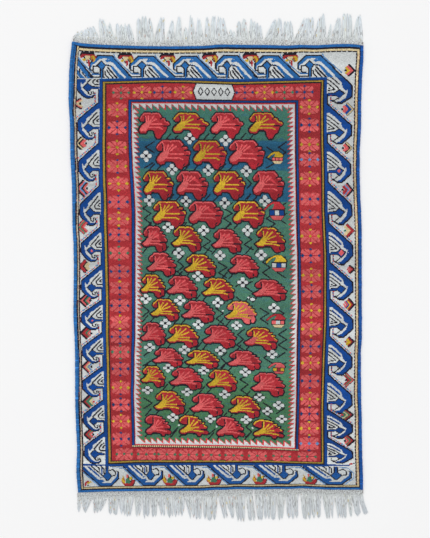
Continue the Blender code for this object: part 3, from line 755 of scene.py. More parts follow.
def waveRow(side):
    places = waveDiamonds[side]
    first, last = (side == "right", side == "top")
    for k, at in enumerate(places):
        other = k + 1 if side == "top" else k - 1
        pitch = abs(places[other] - at) if 0 <= other < len(places) else waveSides[side][1]
        pen = borderPen(side, at, pitch / waveSides[side][1])
        reach = 99
        if (first and k == 0) or (last and k == len(places) - 1):
            reach = 33             # the corner unit has no tail
        short = shortHooks.get((side, k), 1.0)
        draw(pen, [(name, width, *[(x * short if x < -5 else x, y) for x, y in points if x < reach])
                   for name, width, *points in waves[side]])
        if side == "right" and k > 3:  # a blue line splits the comb of the later ones
            pen.line("navy", 1.4, (16.6, 2.9), (8.4, 12.4))
            thick = 1.9 if k > 6 else 1.2
            pen.line("navy", thick, (3.2, 20.4), (-4.2, 18), (-9.4, 12.8), (-10, 9.6))
        if (side, k) in waveHearts:
            heart = 10.4 if side == "left" else 12.4
            pen.diamond("salmon", (-0.2, heart), waveHearts[side, k])
        if side in waveDots and reach > 33:
            start, end, turn, stop = waveDots[side]
            dotted(pen, ("lightBlue", "rose", "lightBlue", "blue", "clay"), start, end, 1.6, 0.75)
            wools = ("clay", "clay", "lightBlue") if side == "left" else ("clay", "navy")
            dotted(pen, wools, turn, stop, 1.4, 0.72)


# Small flowers between the waves, drawn like the wave units: along the border and out from its base.
flowers = {
    "top": (
        ("black", 0, (-5.8, 26.6), (5.8, 26.6), (6.6, 23), (-5.4, 23), (-8, 20.6), (-8.2, 22.8)),
        ("red", 0, (-7.8, 20), (-7, 22.2), (-5.2, 23.5), (6.6, 23.5), (7.9, 21.6), (7.6, 18.4), (5, 18.4),
         (2.4, 19), (2, 21.8), (-2.6, 21.8), (-4.6, 20), (-6.4, 19.4)),
        ("sand", 0, (-2.8, 22), (2.2, 22), (2.4, 19.6), (1.2, 18.2), (-1.8, 18.6)),
        ("yellow", 0, (2.4, 21.4), (4.6, 22.8), (6.8, 21), (7.7, 18), (5.6, 15.8), (3, 17.4)),
        ("red", 1.1, (3.4, 20.4), (5, 17.6)),
        ("black", 1.2, (-3.8, 20.8), (-2.4, 18.6)),
        ("black", 1.1, (2.2, 19.4), (4, 16.8)),
        ("yellow", 0, (-5.2, 18.4), (-3.2, 19.6), (-2, 18.2), (-2.4, 16.6), (-4.6, 16.6)),
        ("black", 1.0, (-1.2, 18), (-0.6, 15.4)),
        ("clay", 0, (-0.4, 18.4), (2.2, 18.2), (2.4, 15.4), (1.8, 12.4), (0.6, 12.4), (0.2, 15)),
    ),
    "bottom": (
        ("black", 1.3, (-7.8, 15), (-6.4, 18.6), (-4.8, 20.6), (4.6, 20.8)),
        ("red", 0, (7.2, 14.6), (6.4, 17), (3.4, 20.4), (-4.6, 20.4), (-6.4, 18), (-7.6, 15.2),
         (-6.2, 13.8),
         (-4, 15.6), (-1, 18), (3, 17.6)),
        ("leafGreen", 0, (2.7, 17.8), (2.2, 14), (0.8, 11.8), (-1.8, 12), (-3.4, 17.2), (-1, 18.4),
         (0.6, 17.6)),
        ("yellow", 0, (7.3, 14), (6, 12.4), (3.4, 15.2), (2.8, 17.6), (4.8, 17.8)),
        ("red", 1.1, (5.2, 12.4), (3.2, 15)),
        ("yellow", 1.0, (5.6, 10.8), (4.2, 12.6)),
        ("black", 1.0, (-4.8, 11.8), (-4.4, 14.4), (-3, 15.8)),
        ("yellow", 0, (-1.6, 13.6), (-2, 11.4), (-4, 11.2), (-4.4, 13), (-2.8, 14.6)),
        ("black", 1.0, (-0.7, 9.8), (-1, 12.8)),
        ("salmon", 0, (1.6, 12.4), (1.8, 9.4), (0.8, 8.6), (-0.2, 9.4), (-0.2, 12.4)),
    ),
}
flowerPlaces = {
    "top": (87.6, 125.8, 167.7, 210, 250.6, 290.4), "bottom": (127.9, 169.7, 213.6, 259.3, 309.3),
}
# Buds of the side borders, nested arrows of several wools: place, height of the tip, half width,
# depth, the wools from outside in, and the wool of the dot.
blooms = {
    "left": (
        (103.6, 24.4, 4.4, 6.6, ("black", "salmon", "sand"), "black"),
        (143.4, 23.4, 5.4, 5.2, ("black", "sand", "black", "salmon", "salmon"), "black"),
        (188.3, 23.8, 7.4, 6.4, ("black", "salmon", "lightBlue", "black", "salmon"), "black"),
        (227, 23.2, 6.2, 5.4, ("salmon", "leafGreen", "red", "salmon"), None),
        (266.3, 22.4, 5.4, 4.6, ("red", "red", "black", "sand", "sand"), None),
        (300.5, 22.2, 5.2, 4.8, ("black", "salmon", "black", "leafGreen", "salmon"), "black"),
        (333.2, 21.8, 4.8, 4.8, ("black", "red", "red", "leafGreen", "salmon"), "black"),
        (366.8, 20.8, 5, 5, ("black", "salmon", "sand", "lightBlue"), "black"),
        (401.5, 20.8, 5.4, 5.4, ("black", "red", "leafGreen", "leafGreen", "sand"), "clay"),
        (434.5, 20.4, 4.4, 4.8, ("black", "red", "leafGreen", "salmon"), "black"),
    ),
    "right": (
        (70.4, 26, 4.8, 5, ("black", "salmon", "salmon", "yellow"), "black"),
        (109.2, 25.6, 5, 5, ("sand", "navy", "navy", "salmon", "salmon"), "black"),
        (148, 25.2, 4.6, 5, ("sand", "black", "salmon", "salmon"), "black"),
        (189.8, 25.8, 5.6, 5, ("black", "salmon", "lightBlue", "red", "red"), "black"),
        (230.6, 25.4, 5.6, 5.8, ("red", "red", "sand", "sand"), "leafGreen"),
        (269.4, 26, 3.2, 4.2, ("black", "red", "salmon"), "salmon"),
        (304.6, 25.6, 5.2, 4.8, ("black", "red", "yellow", "navy", "salmon"), "salmon"),
        (341.8, 25.6, 4, 4.4, ("black", "red", "yellow", "yellow"), "red"),
        (380, 25.6, 5.6, 6.4, ("salmon", "leafGreen", "red"), "black"),
        (414.8, 25, 4.6, 6.4, ("black", "red", "leafGreen", "sand", "leafGreen"), "clay"),
        (440.6, 25.8, 4.6, 5.6, ("black", "red", "leafGreen", "salmon"), "black"),
    ),
}


def bloom(side, at, tip, half, deep, wools, dot):
    pen = borderPen(side, at)
    pen.line("black", 2.9, (-half, tip - deep), (0, tip), (half, tip - deep))
    for k, name in enumerate(wools):
        reach = half - 0.7 * k
        end = tip - 1.75 * k - deep * reach / half
        pen.line(name, 1.75, (-reach, end), (0, tip - 1.75 * k), (reach, end))
    if dot:
        pen.spot(dot, (0, tip - 1.75 * len(wools) - 1.4), 1.2)


def outerBorder():
    waveRow("left")
    box("ivory", 80.4, 52.8, 104, 79.2)
    box("navy", 80.4, 79.2, 88, 82.2)
    for side in ("right", "top"):
        waveRow(side)
    box("ivory", 80.3, 465.2, 359, 485)
    waveRow("bottom")
    for side, places in flowerPlaces.items():
        for at in places:
            draw(borderPen(side, at), flowers[side])
    for side, buds in blooms.items():
        for each in buds:
            bloom(side, *each)
    for name, width, *points in cornerStrokes:
        draw(chalk, ((name, width, *[charted(*p) for p in points]),))


cornerStrokes = (                  # how the rows of waves meet at the corners
    ("navy", 1.5, (83, 464.8), (105, 464.8)),
    ("red", 1.8, (85.4, 485.2), (85.8, 482.6), (88, 481.4)),
    ("yellow", 1.6, (87.6, 483.4), (90.6, 482)),
    ("black", 1.2, (87.6, 485.2), (88.6, 485)),
    ("navy", 1.5, (328, 465), (349, 465.2)),
    ("lightBlue", 1.0, (339.5, 467.4), (347.8, 468), (353.6, 473), (353.6, 478.4), (345.3, 484)),
    ("red", 1.8, (349.6, 464.2), (351.6, 463.8)), ("black", 1.0, (353, 463.6), (354.6, 463.2)),
    ("black", 1.1, (79.8, 68.7), (79.8, 74)), ("black", 1.1, (82.5, 72.5), (85.9, 77.5)),
)


grounds(outerNest)
outerBorder()
edgeStripes()
grounds(innerNest)
dashes()
sawTeeth()
field()
rosetteBorder()
print("charted", knots.shape)

# Dye of every knot: wool colour, the field's changing ground, slow drift by rows and small chance.

groundDyes = {
    "green": (63, 111, 93), "teal": (34, 88, 118), "moss": (74, 120, 97), "grass": (74, 121, 80),
}
groundBands = (                    # the weaver changed to another lot of wool at these rows
    (104, "green"), (138.5, "green"), (141, "teal"), (168, "teal"), (170, "green"), (181, "green"),
    (187, "teal"), (199.5, "teal"), (201.5, "moss"), (360, "moss"), (384, "grass"), (446, "grass"),
)
topBlue = (40, 103, 166)           # lighter blue of the upper wave border
lowerBlue = (30, 90, 160)          # and of the lower one's hooks
sideSand = {"left": (180, 170, 150), "right": (206, 186, 146)}
dye = {
    "drift": 0.05,                 # how far one wool's shade wanders from row to row
    "chance": 0.075,               # and from knot to knot
    "evenIvory": 0.6,              # how much of that chance the ivory shows
    "heather": (52, 98, 128),      # bluer wool carded into the field's ground
    "mostHeather": 0.6,            # and the most of it in any knot
    "cooler": 0.06,                # how much on average
    "streak": 0.22,                # how much more or less in a stretch of a row
    "fleck": 0.46,                 # and from knot to knot
    "ragged": 1.3,                 # rows by which a new lot of wool starts unevenly
    "upperReds": 0.9, "rightReds": 0.97, "lowerReds": 0.95,
    "strays": 0.10,                # odd knots in the lines along the sides
    "strayWool": (150, 96, 92),
}
shadeZones = {                     # rows and columns of the chart where a shade changes
    "upperBlue": 78.9, "lowerBlue": 466, "lowerBlueFrom": 467, "lowerBlueOver": 9,
    "upperReds": 101, "rightReds": 296, "lowerReds": 448,
    "stripeRows": (52, 485), "stripeColumns": (82, 354), "strayColumns": (81, 354.5),
}


def linear(colour):
    c = np.asarray(colour, dtype=float) / 255
    return np.where(c <= 0.04045, c / 12.92, ((c + 0.055) / 1.055) ** 2.4)


def wander(count, reach):          # smooth random curve about zero
    marks = dice.normal(size=count // reach + 3)
    return np.interp(np.arange(count) / reach, np.arange(len(marks)), marks)


def dyed():
    colour = np.array([wool[name] for name in woolNames], dtype=float)[knots]
    ground = knots == woolNames.index("green")
    rows, lots = zip(*groundBands)
    streaks = np.stack([wander(columnCount, 9) for _ in range(rowCount)])
    lookup = knotRows[:, None] + dye["ragged"] * streaks
    shades = np.stack([np.interp(lookup, rows, [groundDyes[lot][k] for lot in lots]) for k in range(3)],
                      axis=-1)
    colour[ground] = shades[ground]
    flecks = dye["fleck"] * (dice.random(knots.shape) - 0.5)
    mixed = np.clip(dye["cooler"] + dye["streak"] * streaks + flecks, 0, dye["mostHeather"])
    cooled = colour + (np.array(dye["heather"]) - colour) * mixed[..., None]
    colour[ground] = cooled[ground]
    zones = shadeZones
    upper = (knots == woolNames.index("navy")) & (knotRows < zones["upperBlue"])[:, None]
    colour[upper] = topBlue
    sand = knots == woolNames.index("sand")
    top, bottom = zones["stripeRows"]
    left, right = zones["stripeColumns"]
    inside = ((knotRows > top) & (knotRows < bottom))[:, None]
    colour[sand & inside & (knotColumns < left)[None, :]] = sideSand["left"]
    colour[sand & inside & (knotColumns > right)[None, :]] = sideSand["right"]
    left, right = zones["strayColumns"]
    beside = ((knotColumns < left) | (knotColumns > right))[None, :]
    edges = beside & inside & ((knots == woolNames.index("black")) | sand)
    stray = edges & (dice.random(knots.shape) < dye["strays"])
    colour[stray] = dye["strayWool"]
    reds = np.isin(knots, [woolNames.index(name) for name in ("red", "clay")])
    colour[reds & (knotRows < zones["upperReds"])[:, None]] *= dye["upperReds"]
    colour[reds & (knotColumns > zones["rightReds"])[None, :]] *= dye["rightReds"]
    colour[reds & (knotRows > zones["lowerReds"])[:, None]] *= dye["lowerReds"]
    lower = (knots == woolNames.index("navy")) & (knotRows > zones["lowerBlue"])[:, None]
    share = np.clip((knotRows - zones["lowerBlueFrom"]) / zones["lowerBlueOver"], 0, 1)
    share = np.broadcast_to(share[:, None, None], colour.shape)
    colour[lower] += (share * (np.array(lowerBlue) - colour))[lower]
    for index in range(len(woolNames)):
        rowShade = 1 + dye["drift"] * (wander(rowCount, 26) + 0.7 * wander(rowCount, 5))
        own = knots == index
        colour[own] *= np.broadcast_to(rowShade[:, None, None], colour.shape)[own]
    chance = np.where(knots == woolNames.index("ivory"), dye["evenIvory"], 1.0) * dye["chance"]
    colour *= 1 + (chance * dice.normal(size=knots.shape))[..., None]
    return linear(np.clip(colour, 0, 250))


knotColour = dyed()

# Shading


class Wire:                        # a shader value that can be reckoned with
    def __init__(self, tree, socket):
        self.tree = tree
        self.socket = socket

    def sum(self, kind, other, flipped=False):
        node = self.tree.nodes.new("ShaderNodeMath")
        node.operation = kind
        first, second = (other, self) if flipped else (self, other)
        feed(self.tree, node.inputs[0], first)
        feed(self.tree, node.inputs[1], second)
        return Wire(self.tree, node.outputs[0])

    def __add__(self, other):
        return self.sum("ADD", other)

    def __radd__(self, other):
        return self.sum("ADD", other, True)

    def __sub__(self, other):
        return self.sum("SUBTRACT", other)

    def __rsub__(self, other):
        return self.sum("SUBTRACT", other, True)

    def __mul__(self, other):
        return self.sum("MULTIPLY", other)

    def __rmul__(self, other):
        return self.sum("MULTIPLY", other, True)


def feed(tree, socket, value):
    if isinstance(value, Wire):
        tree.links.new(value.socket, socket)
    elif value is not None:
        socket.default_value = value


class Shader:
    def __init__(self, name):
        self.material = bpy.data.materials.new(name)
        self.material.use_nodes = True
        self.tree = self.material.node_tree
        self.body = self.tree.nodes["Principled BSDF"]

    def node(self, kind, output=0, settings=None, **values):
        made = self.tree.nodes.new("ShaderNode" + kind)
        for key, value in (settings or {}).items():
            setattr(made, key, value)
        for key, value in values.items():
            feed(self.tree, made.inputs[key.replace("_", " ")], value)
        return Wire(self.tree, made.outputs[output])

    def set(self, name, value):
        feed(self.tree, self.body.inputs[name], value)

    def scaled(self, colour, factor):
        return self.node("VectorMath", settings={"operation": "SCALE"}, Vector=colour, Scale=factor)


def woolShader(name, look):
    s = Shader(name)
    here = s.node("TexCoord", "Object")
    dyedWool = s.node("Attribute", "Color", {"attribute_name": "dyed"})
    fibre = s.node("TexNoise", "Fac", Vector=here, Scale=look["fibreScale"], Detail=3.0)
    cloud = s.node("TexNoise", "Fac", Vector=here, Scale=look["cloudScale"], Detail=2.0)
    shade = 1.0 + (fibre - 0.5) * look["fibre"] + (cloud - 0.5) * look["cloud"]
    s.set("Base Color", s.scaled(dyedWool, shade * look["level"]))
    s.set("Roughness", look["roughness"])
    s.set("Specular IOR Level", look["gloss"])
    s.set("Sheen Weight", look["sheen"])
    s.set("Sheen Roughness", 0.6)
    height = fibre * look["fibreDepth"]
    if look["ribs"]:
        place = s.node("UVMap", "UV", {"uv_map": look["ribs"]})
        axes = s.tree.nodes.new("ShaderNodeSeparateXYZ")
        feed(s.tree, axes.inputs[0], place)
        for axis, depth in zip((0, 1), look["ribDepth"]):
            turn = Wire(s.tree, axes.outputs[axis]) * (2 * math.pi)
            height = height - s.node("Math", 0, {"operation": "COSINE"}, Value=turn) * depth
    bump = s.node("Bump", "Normal", Height=height, Strength=look["bump"], Distance=look["reach"])
    s.set("Normal", bump)
    return s.material


pileLook = {
    "level": 1.0, "fibreScale": 900.0, "fibre": 0.34, "cloudScale": 42.0, "cloud": 0.16,
    "roughness": 0.92, "gloss": 0.15, "sheen": 0.06,
    "fibreDepth": 0.9, "ribs": "Knots", "ribDepth": (0.25, 0.35), "bump": 0.5, "reach": 0.0006,
}
backLook = dict(pileLook, fibre=0.2, ribDepth=(0.25, 0.9), fibreDepth=0.3, level=0.92)
sideLook = dict(pileLook, ribs=None, fibre=0.3, fibreDepth=0.8)
cottonLook = dict(pileLook, ribs=None, fibre=0.16, cloud=0.10, fibreScale=700.0, sheen=0.1)


def piece(name, vertices, faces, colours, material, layers=None):
    mesh = bpy.data.meshes.new(name)
    mesh.from_pydata(vertices.tolist(), [], faces.tolist())
    low, high = vertices.min(0), vertices.max(0)
    corners = faces.reshape(-1)
    flat = (vertices[corners, :2] - low[:2]) / np.maximum(high[:2] - low[:2], 1e-6)
    bake = mesh.uv_layers.new(name="OFBake")
    bake.data.foreach_set("uv", flat.astype(np.float32).ravel())
    for layer, values in (layers or {}).items():
        extra = mesh.uv_layers.new(name=layer)
        extra.data.foreach_set("uv", values[corners].astype(np.float32).ravel())
    store = mesh.color_attributes.new(name="dyed", type="FLOAT_COLOR", domain="CORNER")
    rgba = np.ones((len(colours), 4), dtype=np.float32)
    rgba[:, :3] = colours
    store.data.foreach_set("color", np.repeat(rgba, faces.shape[1], axis=0).ravel())
    mesh.materials.append(material)
    mesh.validate()
    made = bpy.data.objects.new(name, mesh)
    bpy.context.collection.objects.link(made)
    return made


# Knotted pile, one face to a knot, in five pieces

pile = {
    "top": 0.0078,                 # height of the clipped pile
    "uneven": 0.00022,             # scissor marks and lean of the wool
    "worn": 0.0006,                # how much lower the black wool has worn
    "shift": 0.00028,              # how far a knot strays from its place
    "edgeDrop": 0.0012,            # rounding along the clipped edge
}
gridU, gridV = np.meshgrid(chart["columns"][0] + np.arange(columnCount + 1) * knotSize,
                           chart["rows"][0] + np.arange(rowCount + 1) * knotSize)
wovenU, wovenV = woven(gridU, gridV)
pileX, pileY = metres(wovenU, wovenV)
inner = np.zeros(gridU.shape, dtype=bool)
inner[1:-1, 1:-1] = True
strayX = dice.normal(0, pile["shift"], gridU.shape) * inner
strayY = dice.normal(0, pile["shift"], gridU.shape) * inner
black = (knots == woolNames.index("black")).astype(float)
worn = np.zeros(gridU.shape)
for dy in (0, 1):
    for dx in (0, 1):
        worn[dy:dy + rowCount, dx:dx + columnCount] += black / 4
pileZ = pile["top"] + dice.normal(0, pile["uneven"], gridU.shape) - pile["worn"] * worn
pileZ[~inner] -= pile["edgeDrop"]
pileVertices = np.stack([pileX + strayX, pileY + strayY, pileZ], axis=-1).reshape(-1, 3)
knotPlace = np.stack([(gridU - gridU[0, 0]) / knotSize, (gridV - gridV[0, 0]) / knotSize], axis=-1)
knotPlace = knotPlace.reshape(-1, 2)
wide = columnCount + 1


def pilePiece(name, mask, material):
    rows, columns = np.nonzero(mask)
    first = rows * wide + columns
    faces = np.stack([first + wide, first + wide + 1, first + 1, first], axis=1)
    used, place = np.unique(faces, return_inverse=True)
    made = piece(name, pileVertices[used], place.reshape(faces.shape), knotColour[rows, columns],
                 material, {"Knots": knotPlace[used]})
    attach(made, "root")
    return made


pileWool = woolShader("knottedPile", pileLook)
pileZones = {                      # left, top, right and bottom of the pieces' parts of the chart
    "field": (131, 100, 299, 447.4),
    "middle": (105, 81.2, 324.6, 463.3),
}


def within(left, top, right, bottom):
    columns = (knotColumns > left) & (knotColumns < right)
    rows = (knotRows > top) & (knotRows < bottom)
    return columns[None, :] & rows[:, None]


inField = within(*pileZones["field"])
inMiddle = within(*pileZones["middle"])
upperHalf = (knotRows < chart["centre"][1])[:, None]
pilePieces = [
    pilePiece("fieldUpper", inField & upperHalf, pileWool),
    pilePiece("fieldLower", inField & ~upperHalf, pileWool),
    pilePiece("rosetteBorder", inMiddle & ~inField, pileWool),
    pilePiece("waveBorderUpper", ~inMiddle & upperHalf, pileWool),
    pilePiece("waveBorderLower", ~inMiddle & ~upperHalf, pileWool),
]
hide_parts("pile_body")
print("pile", sum(len(p.data.polygons) for p in pilePieces))

# Woven back, which shows the same knots from below, with the rug's end walls

back = {
    "stride": 3,                   # every third knot is shown
    "height": 0.0004,              # above the floor
    "wall": 0.0070,
}


def rugBack():
    rows = np.arange(0, rowCount + 1, back["stride"])
    columns = np.arange(0, columnCount + 1, back["stride"])
    rows[-1] = rowCount
    columns[-1] = columnCount
    x = pileX[np.ix_(rows, columns)]
    y = pileY[np.ix_(rows, columns)]
    vertices = np.stack([x, y, np.full(x.shape, back["height"])], axis=-1).reshape(-1, 3)
    count = len(columns)
    j, i = np.meshgrid(np.arange(len(rows) - 1), np.arange(count - 1), indexing="ij")
    first = (j * count + i).ravel()
    faces = np.stack([first, first + 1, first + count + 1, first + count], axis=1)
    colours = knotColour[np.ix_(rows[:-1], columns[:-1])].reshape(-1, 3)
    place = knotPlace.reshape(rowCount + 1, columnCount + 1, 2)[np.ix_(rows, columns)].reshape(-1, 2)
    last = len(rows) - 1
    around = ([(0, i) for i in range(count)] + [(j, count - 1) for j in range(1, last + 1)]
              + [(last, i) for i in range(count - 2, -1, -1)] + [(j, 0) for j in range(last - 1, 0, -1)])
    low = np.array([j * count + i for j, i in around])
    high = vertices[low] + (0, 0, back["wall"] - back["height"])
    top = len(vertices) + np.arange(len(low))
    walls = np.stack([low, top, np.roll(top, -1), np.roll(low, -1)], axis=1)
    edge = np.array([knotColour[min(rows[j], rowCount - 1), min(columns[i], columnCount - 1)]
                     for j, i in around])
    made = piece("wovenBack", np.vstack([vertices, high]), np.vstack([faces, walls]),
                 np.vstack([colours, edge]), woolShader("wovenBack", backLook),
                 {"Knots": np.vstack([place, place[low]])})
    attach(made, "root")
    return made


wovenBack = rugBack()
print("back", len(wovenBack.data.polygons))


class Shape:                       # gathers rings of points into one mesh
    def __init__(self):
        self.points = []
        self.faces = []
        self.colours = []
        self.total = 0

    def tube(self, rings, colours):
        rings = np.asarray(rings)
        count, around = rings.shape[:2]
        base = self.total + np.arange(count - 1)[:, None] * around + np.arange(around)[None, :]
        step = (np.arange(around) + 1) % around
        beside = self.total + np.arange(count - 1)[:, None] * around + step[None, :]
        quads = np.stack([base, beside, beside + around, base + around], axis=-1).reshape(-1, 4)
        self.points.append(rings.reshape(-1, 3))
        self.faces.append(quads)
        self.colours.append(np.repeat(np.asarray(colours)[:count - 1], around, axis=0))
        self.total += count * around

    def finish(self, name, material):
        return piece(name, np.vstack(self.points), np.vstack(self.faces), np.vstack(self.colours), material)


# Overcast sides: wool wrapped round the edge cords

side = {
    "width": 0.0114, "thickness": 0.0074,
    "pitch": 0.0030,               # one turn of the wool
    "stations": 3,                 # rings to a turn
    "around": 10,
    "swell": 0.13,                 # how far a turn stands out
    "slant": 0.55,                 # turns the wool advances over the top
    "colours": {"left": (44, 108, 172), "right": (26, 80, 152)},
    "pale": 0.08,                  # share of turns of a paler dye
}


def overcast(name, table, which, node):
    shape = Shape()
    outward = -1 if which == "left" else 1
    starts = (41.6, 492.6) if which == "left" else (45.4, 490.0)
    rowsFine = np.arange(starts[0], starts[1], side["pitch"] / side["stations"] / chart["square"])
    edge = np.interp(rowsFine, steps, eased(table)) - outward * sideWidth / 2
    x, y = metres(edge, rowsFine)
    count = len(rowsFine)
    turn = np.arange(count) / side["stations"]
    width = side["width"] * (1 + 0.05 * wander(count, 40) + 0.05 * wander(count, 5))
    angles = np.arange(side["around"]) * 2 * math.pi / side["around"]
    rings = []
    for k in range(count):
        phase = (turn[k] + side["slant"] * angles / (2 * math.pi)) % 1
        swell = 1 + side["swell"] * (np.abs(np.sin(phase * math.pi)) - 0.6)
        rings.append(np.stack([x[k] + np.cos(angles) * width[k] / 2 * swell,
                               np.full(side["around"], y[k]),
                               side["thickness"] / 2 * (1 + np.sin(angles) * swell * 0.98)], axis=1))
    tone = linear(side["colours"][which])
    turns = 1 + 0.13 * dice.normal(size=(count // side["stations"] + 1, 1))
    turns[dice.random(turns.shape) < side["pale"]] *= 1.5
    lot = turns.repeat(side["stations"], axis=0)[:count] + 0.10 * wander(count, 60)[:, None]
    shape.tube(rings, np.clip(tone[None, :] * lot, 0, 1))
    made = shape.finish(name, sideWool)
    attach(made, "root")
    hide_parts(node)
    return made


sideWool = woolShader("overcastWool", sideLook)
overcastLeft = overcast("overcastLeft", leftEdge, "left", "selvedge_left")
overcastRight = overcast("overcastRight", rightEdge, "right", "selvedge_right")
print("sides", len(overcastLeft.data.polygons) + len(overcastRight.data.polygons))

# Fringes: a net of small knots past the last row, then loose strands in locks

fringe = {
    "strandPitch": 0.70,           # squares between two strands at their roots
    "strandRadius": 0.0016,
    "tipRadius": 0.0014,
    "rings": 10,
    "tuft": (3.0, 7.5),            # squares to a tuft, whose strands draw together to a point
    "point": (2.5, 8.5),
    "around": 4,
    "sway": 1.25,
    "hairs": 1,                    # loose hairs to a strand
    "cotton": (231, 235, 235),
    "specks": ((206, 190, 172), (198, 172, 166), (214, 200, 150), (176, 176, 176)),
    "speckShare": 0.028,
    "tones": {"fringeTop": 0.99, "fringeBottom": 0.94},    # the lower fringe is a little greyer
    "fades": {"fringeTop": (-0.05, 0.0, 0.05), "fringeBottom": (-0.19, -0.16, -0.12)},
    "under": (146, 142, 142),      # shade between the knots of the net
    "netTop": {"pitch": 1.5, "rows": 4, "first": 0.7, "long": 0.0066, "wide": 0.0052},
    "netBottom": {"pitch": 1.12, "rows": 6, "first": 0.5, "long": 0.0048, "wide": 0.0040},
}
# Locks: left and right end of the roots, left and right of the tips, and the rows of those tips.
topLocks = (
    (73.3, 86.0, 76.5, 86.5, 31.0, 28.5), (86.0, 99.3, 86.5, 94.0, 28.5, 25.5),
    (100.0, 110.0, 98.3, 104.0, 19.5, 19.5), (110.0, 116.0, 107.5, 110.0, 27.0, 21.5),
    (116.0, 125.0, 115.0, 123.0, 24.5, 24.5), (125.0, 134.2, 123.0, 130.5, 24.5, 23.0),
    (137.0, 145.0, 135.8, 144.0, 18.0, 16.0), (145.0, 153.5, 144.0, 152.0, 16.0, 18.0),
    (153.7, 165.0, 159.5, 164.8, 17.5, 17.0), (165.0, 174.0, 171.5, 173.7, 21.0, 20.0),
    (174.0, 183.0, 177.7, 180.0, 18.0, 17.0), (183.0, 188.0, 183.5, 187.0, 29.0, 27.0),
    (188.0, 196.0, 189.8, 193.0, 15.0, 17.0), (196.0, 204.0, 197.5, 200.5, 18.5, 20.0),
    (204.0, 210.0, 206.0, 208.5, 18.0, 18.0), (210.0, 217.0, 211.8, 215.8, 16.5, 16.5),
    (217.0, 229.0, 217.0, 224.5, 16.0, 19.5), (229.0, 236.8, 229.0, 235.3, 30.5, 30.5),
    (237.0, 248.3, 236.3, 246.3, 23.0, 18.5), (249.0, 263.0, 250.0, 262.0, 17.0, 26.0),
    (264.0, 274.0, 273.3, 276.5, 20.0, 18.5), (274.0, 282.0, 278.0, 281.6, 18.0, 18.5),
    (282.3, 294.3, 284.0, 291.8, 21.0, 20.5), (295.0, 314.0, 303.8, 313.8, 18.0, 17.0),
    (314.3, 326.6, 318.0, 324.6, 18.5, 13.5), (327.0, 331.0, 330.0, 331.5, 25.0, 22.0),
    (331.2, 342.0, 337.5, 340.5, 18.0, 18.0), (342.2, 352.0, 342.6, 352.0, 12.5, 14.5),
    (352.2, 363.0, 357.5, 361.3, 16.0, 14.3),
)
bottomLocks = (
    (77.7, 82.0, 77.5, 79.5, 512.0, 513.0), (82.0, 92.8, 82.7, 85.7, 511.0, 512.0),
    (93.3, 108.0, 93.3, 102.0, 512.8, 510.5), (108.3, 118.5, 108.0, 118.0, 513.0, 515.0),
    (118.5, 133.6, 119.7, 130.8, 514.5, 516.5), (134.6, 142.4, 135.3, 140.3, 516.0, 515.0),
    (142.4, 150.4, 143.2, 149.5, 518.0, 517.0), (151.0, 157.0, 152.0, 156.6, 518.0, 516.0),
    (157.0, 165.4, 160.0, 165.0, 515.0, 516.0), (165.4, 185.0, 167.5, 184.0, 517.5, 515.5),
    (185.0, 202.0, 189.0, 201.3, 517.0, 520.0), (202.3, 217.6, 203.5, 216.6, 519.5, 520.5),
    (218.2, 224.4, 223.0, 228.0, 518.5, 518.5), (224.6, 234.2, 231.0, 234.0, 519.0, 518.5),
    (234.4, 245.6, 236.8, 244.8, 521.0, 521.5), (245.8, 252.3, 247.8, 256.0, 520.0, 521.0),
    (255.0, 263.0, 257.8, 263.0, 520.5, 520.5), (263.2, 276.6, 264.0, 276.0, 519.0, 519.5),
    (276.8, 285.6, 278.3, 283.2, 520.0, 519.5), (285.8, 298.6, 286.8, 298.8, 518.5, 518.5),
    (300.0, 310.8, 302.5, 311.5, 517.5, 519.5), (310.8, 321.4, 311.7, 321.2, 519.0, 517.5),
    (321.7, 329.4, 326.0, 330.4, 518.0, 519.3), (330.0, 334.0, 331.6, 333.4, 517.5, 517.5),
    (334.3, 347.6, 337.3, 347.0, 518.0, 517.5), (347.9, 363.0, 349.0, 368.9, 517.0, 515.0),
)


def strand(shape, start, end, startRadius, endRadius, around, count, tone, fade, lift):
    t = np.linspace(0, 1, count)
    waver = wander(count + 6, 3)[:count] * 0.0007 * np.sin(t * math.pi * 0.8)
    x = start[0] + (end[0] - start[0]) * t ** fringe["sway"] + waver
    y = start[1] + (end[1] - start[1]) * t
    radius = startRadius + (endRadius - startRadius) * t ** 2
    radius[-1] *= 0.35
    z = radius + lift * np.sin(np.clip(t * 1.6, 0, 1) * math.pi * 0.75)
    angles = np.arange(around) * 2 * math.pi / around + random.random()
    rings = np.stack([x[:, None] + np.cos(angles) * radius[:, None],
                      np.repeat(y[:, None], around, axis=1),
                      z[:, None] + np.sin(angles) * radius[:, None]], axis=-1)
    rings[..., 2] = np.maximum(rings[..., 2], 0.0001)
    tones = tone * (1 + 0.05 * dice.normal(size=(count, 1))) * (1 + np.outer(t, fade))
    shaded = (dice.random(count) < 0.2) & (t < 0.5)
    tones[shaded] *= 0.7
    speck = dice.random(count) < fringe["speckShare"]
    tones[speck] = linear(fringe["specks"])[dice.integers(0, len(fringe["specks"]), speck.sum())]
    shape.tube(rings, np.clip(tones, 0, 0.96))


def netKnot(shape, x, y, z, wide, long, tone, lean):
    levels = np.array((-0.7, 0.1, 0.65, 0.97))
    angles = np.arange(6) * math.pi / 3
    rings = []
    for level in levels:
        reach = math.sqrt(1 - level * level)
        px = np.cos(angles) * wide * reach / 2
        py = np.sin(angles) * long * reach / 2
        rings.append(np.stack([x + px * math.cos(lean) - py * math.sin(lean),
                               y + px * math.sin(lean) + py * math.cos(lean),
                               np.full(6, z + 0.0018 * level)], axis=1))
    shape.tube(rings, np.repeat(tone[None, :], len(levels), axis=0))


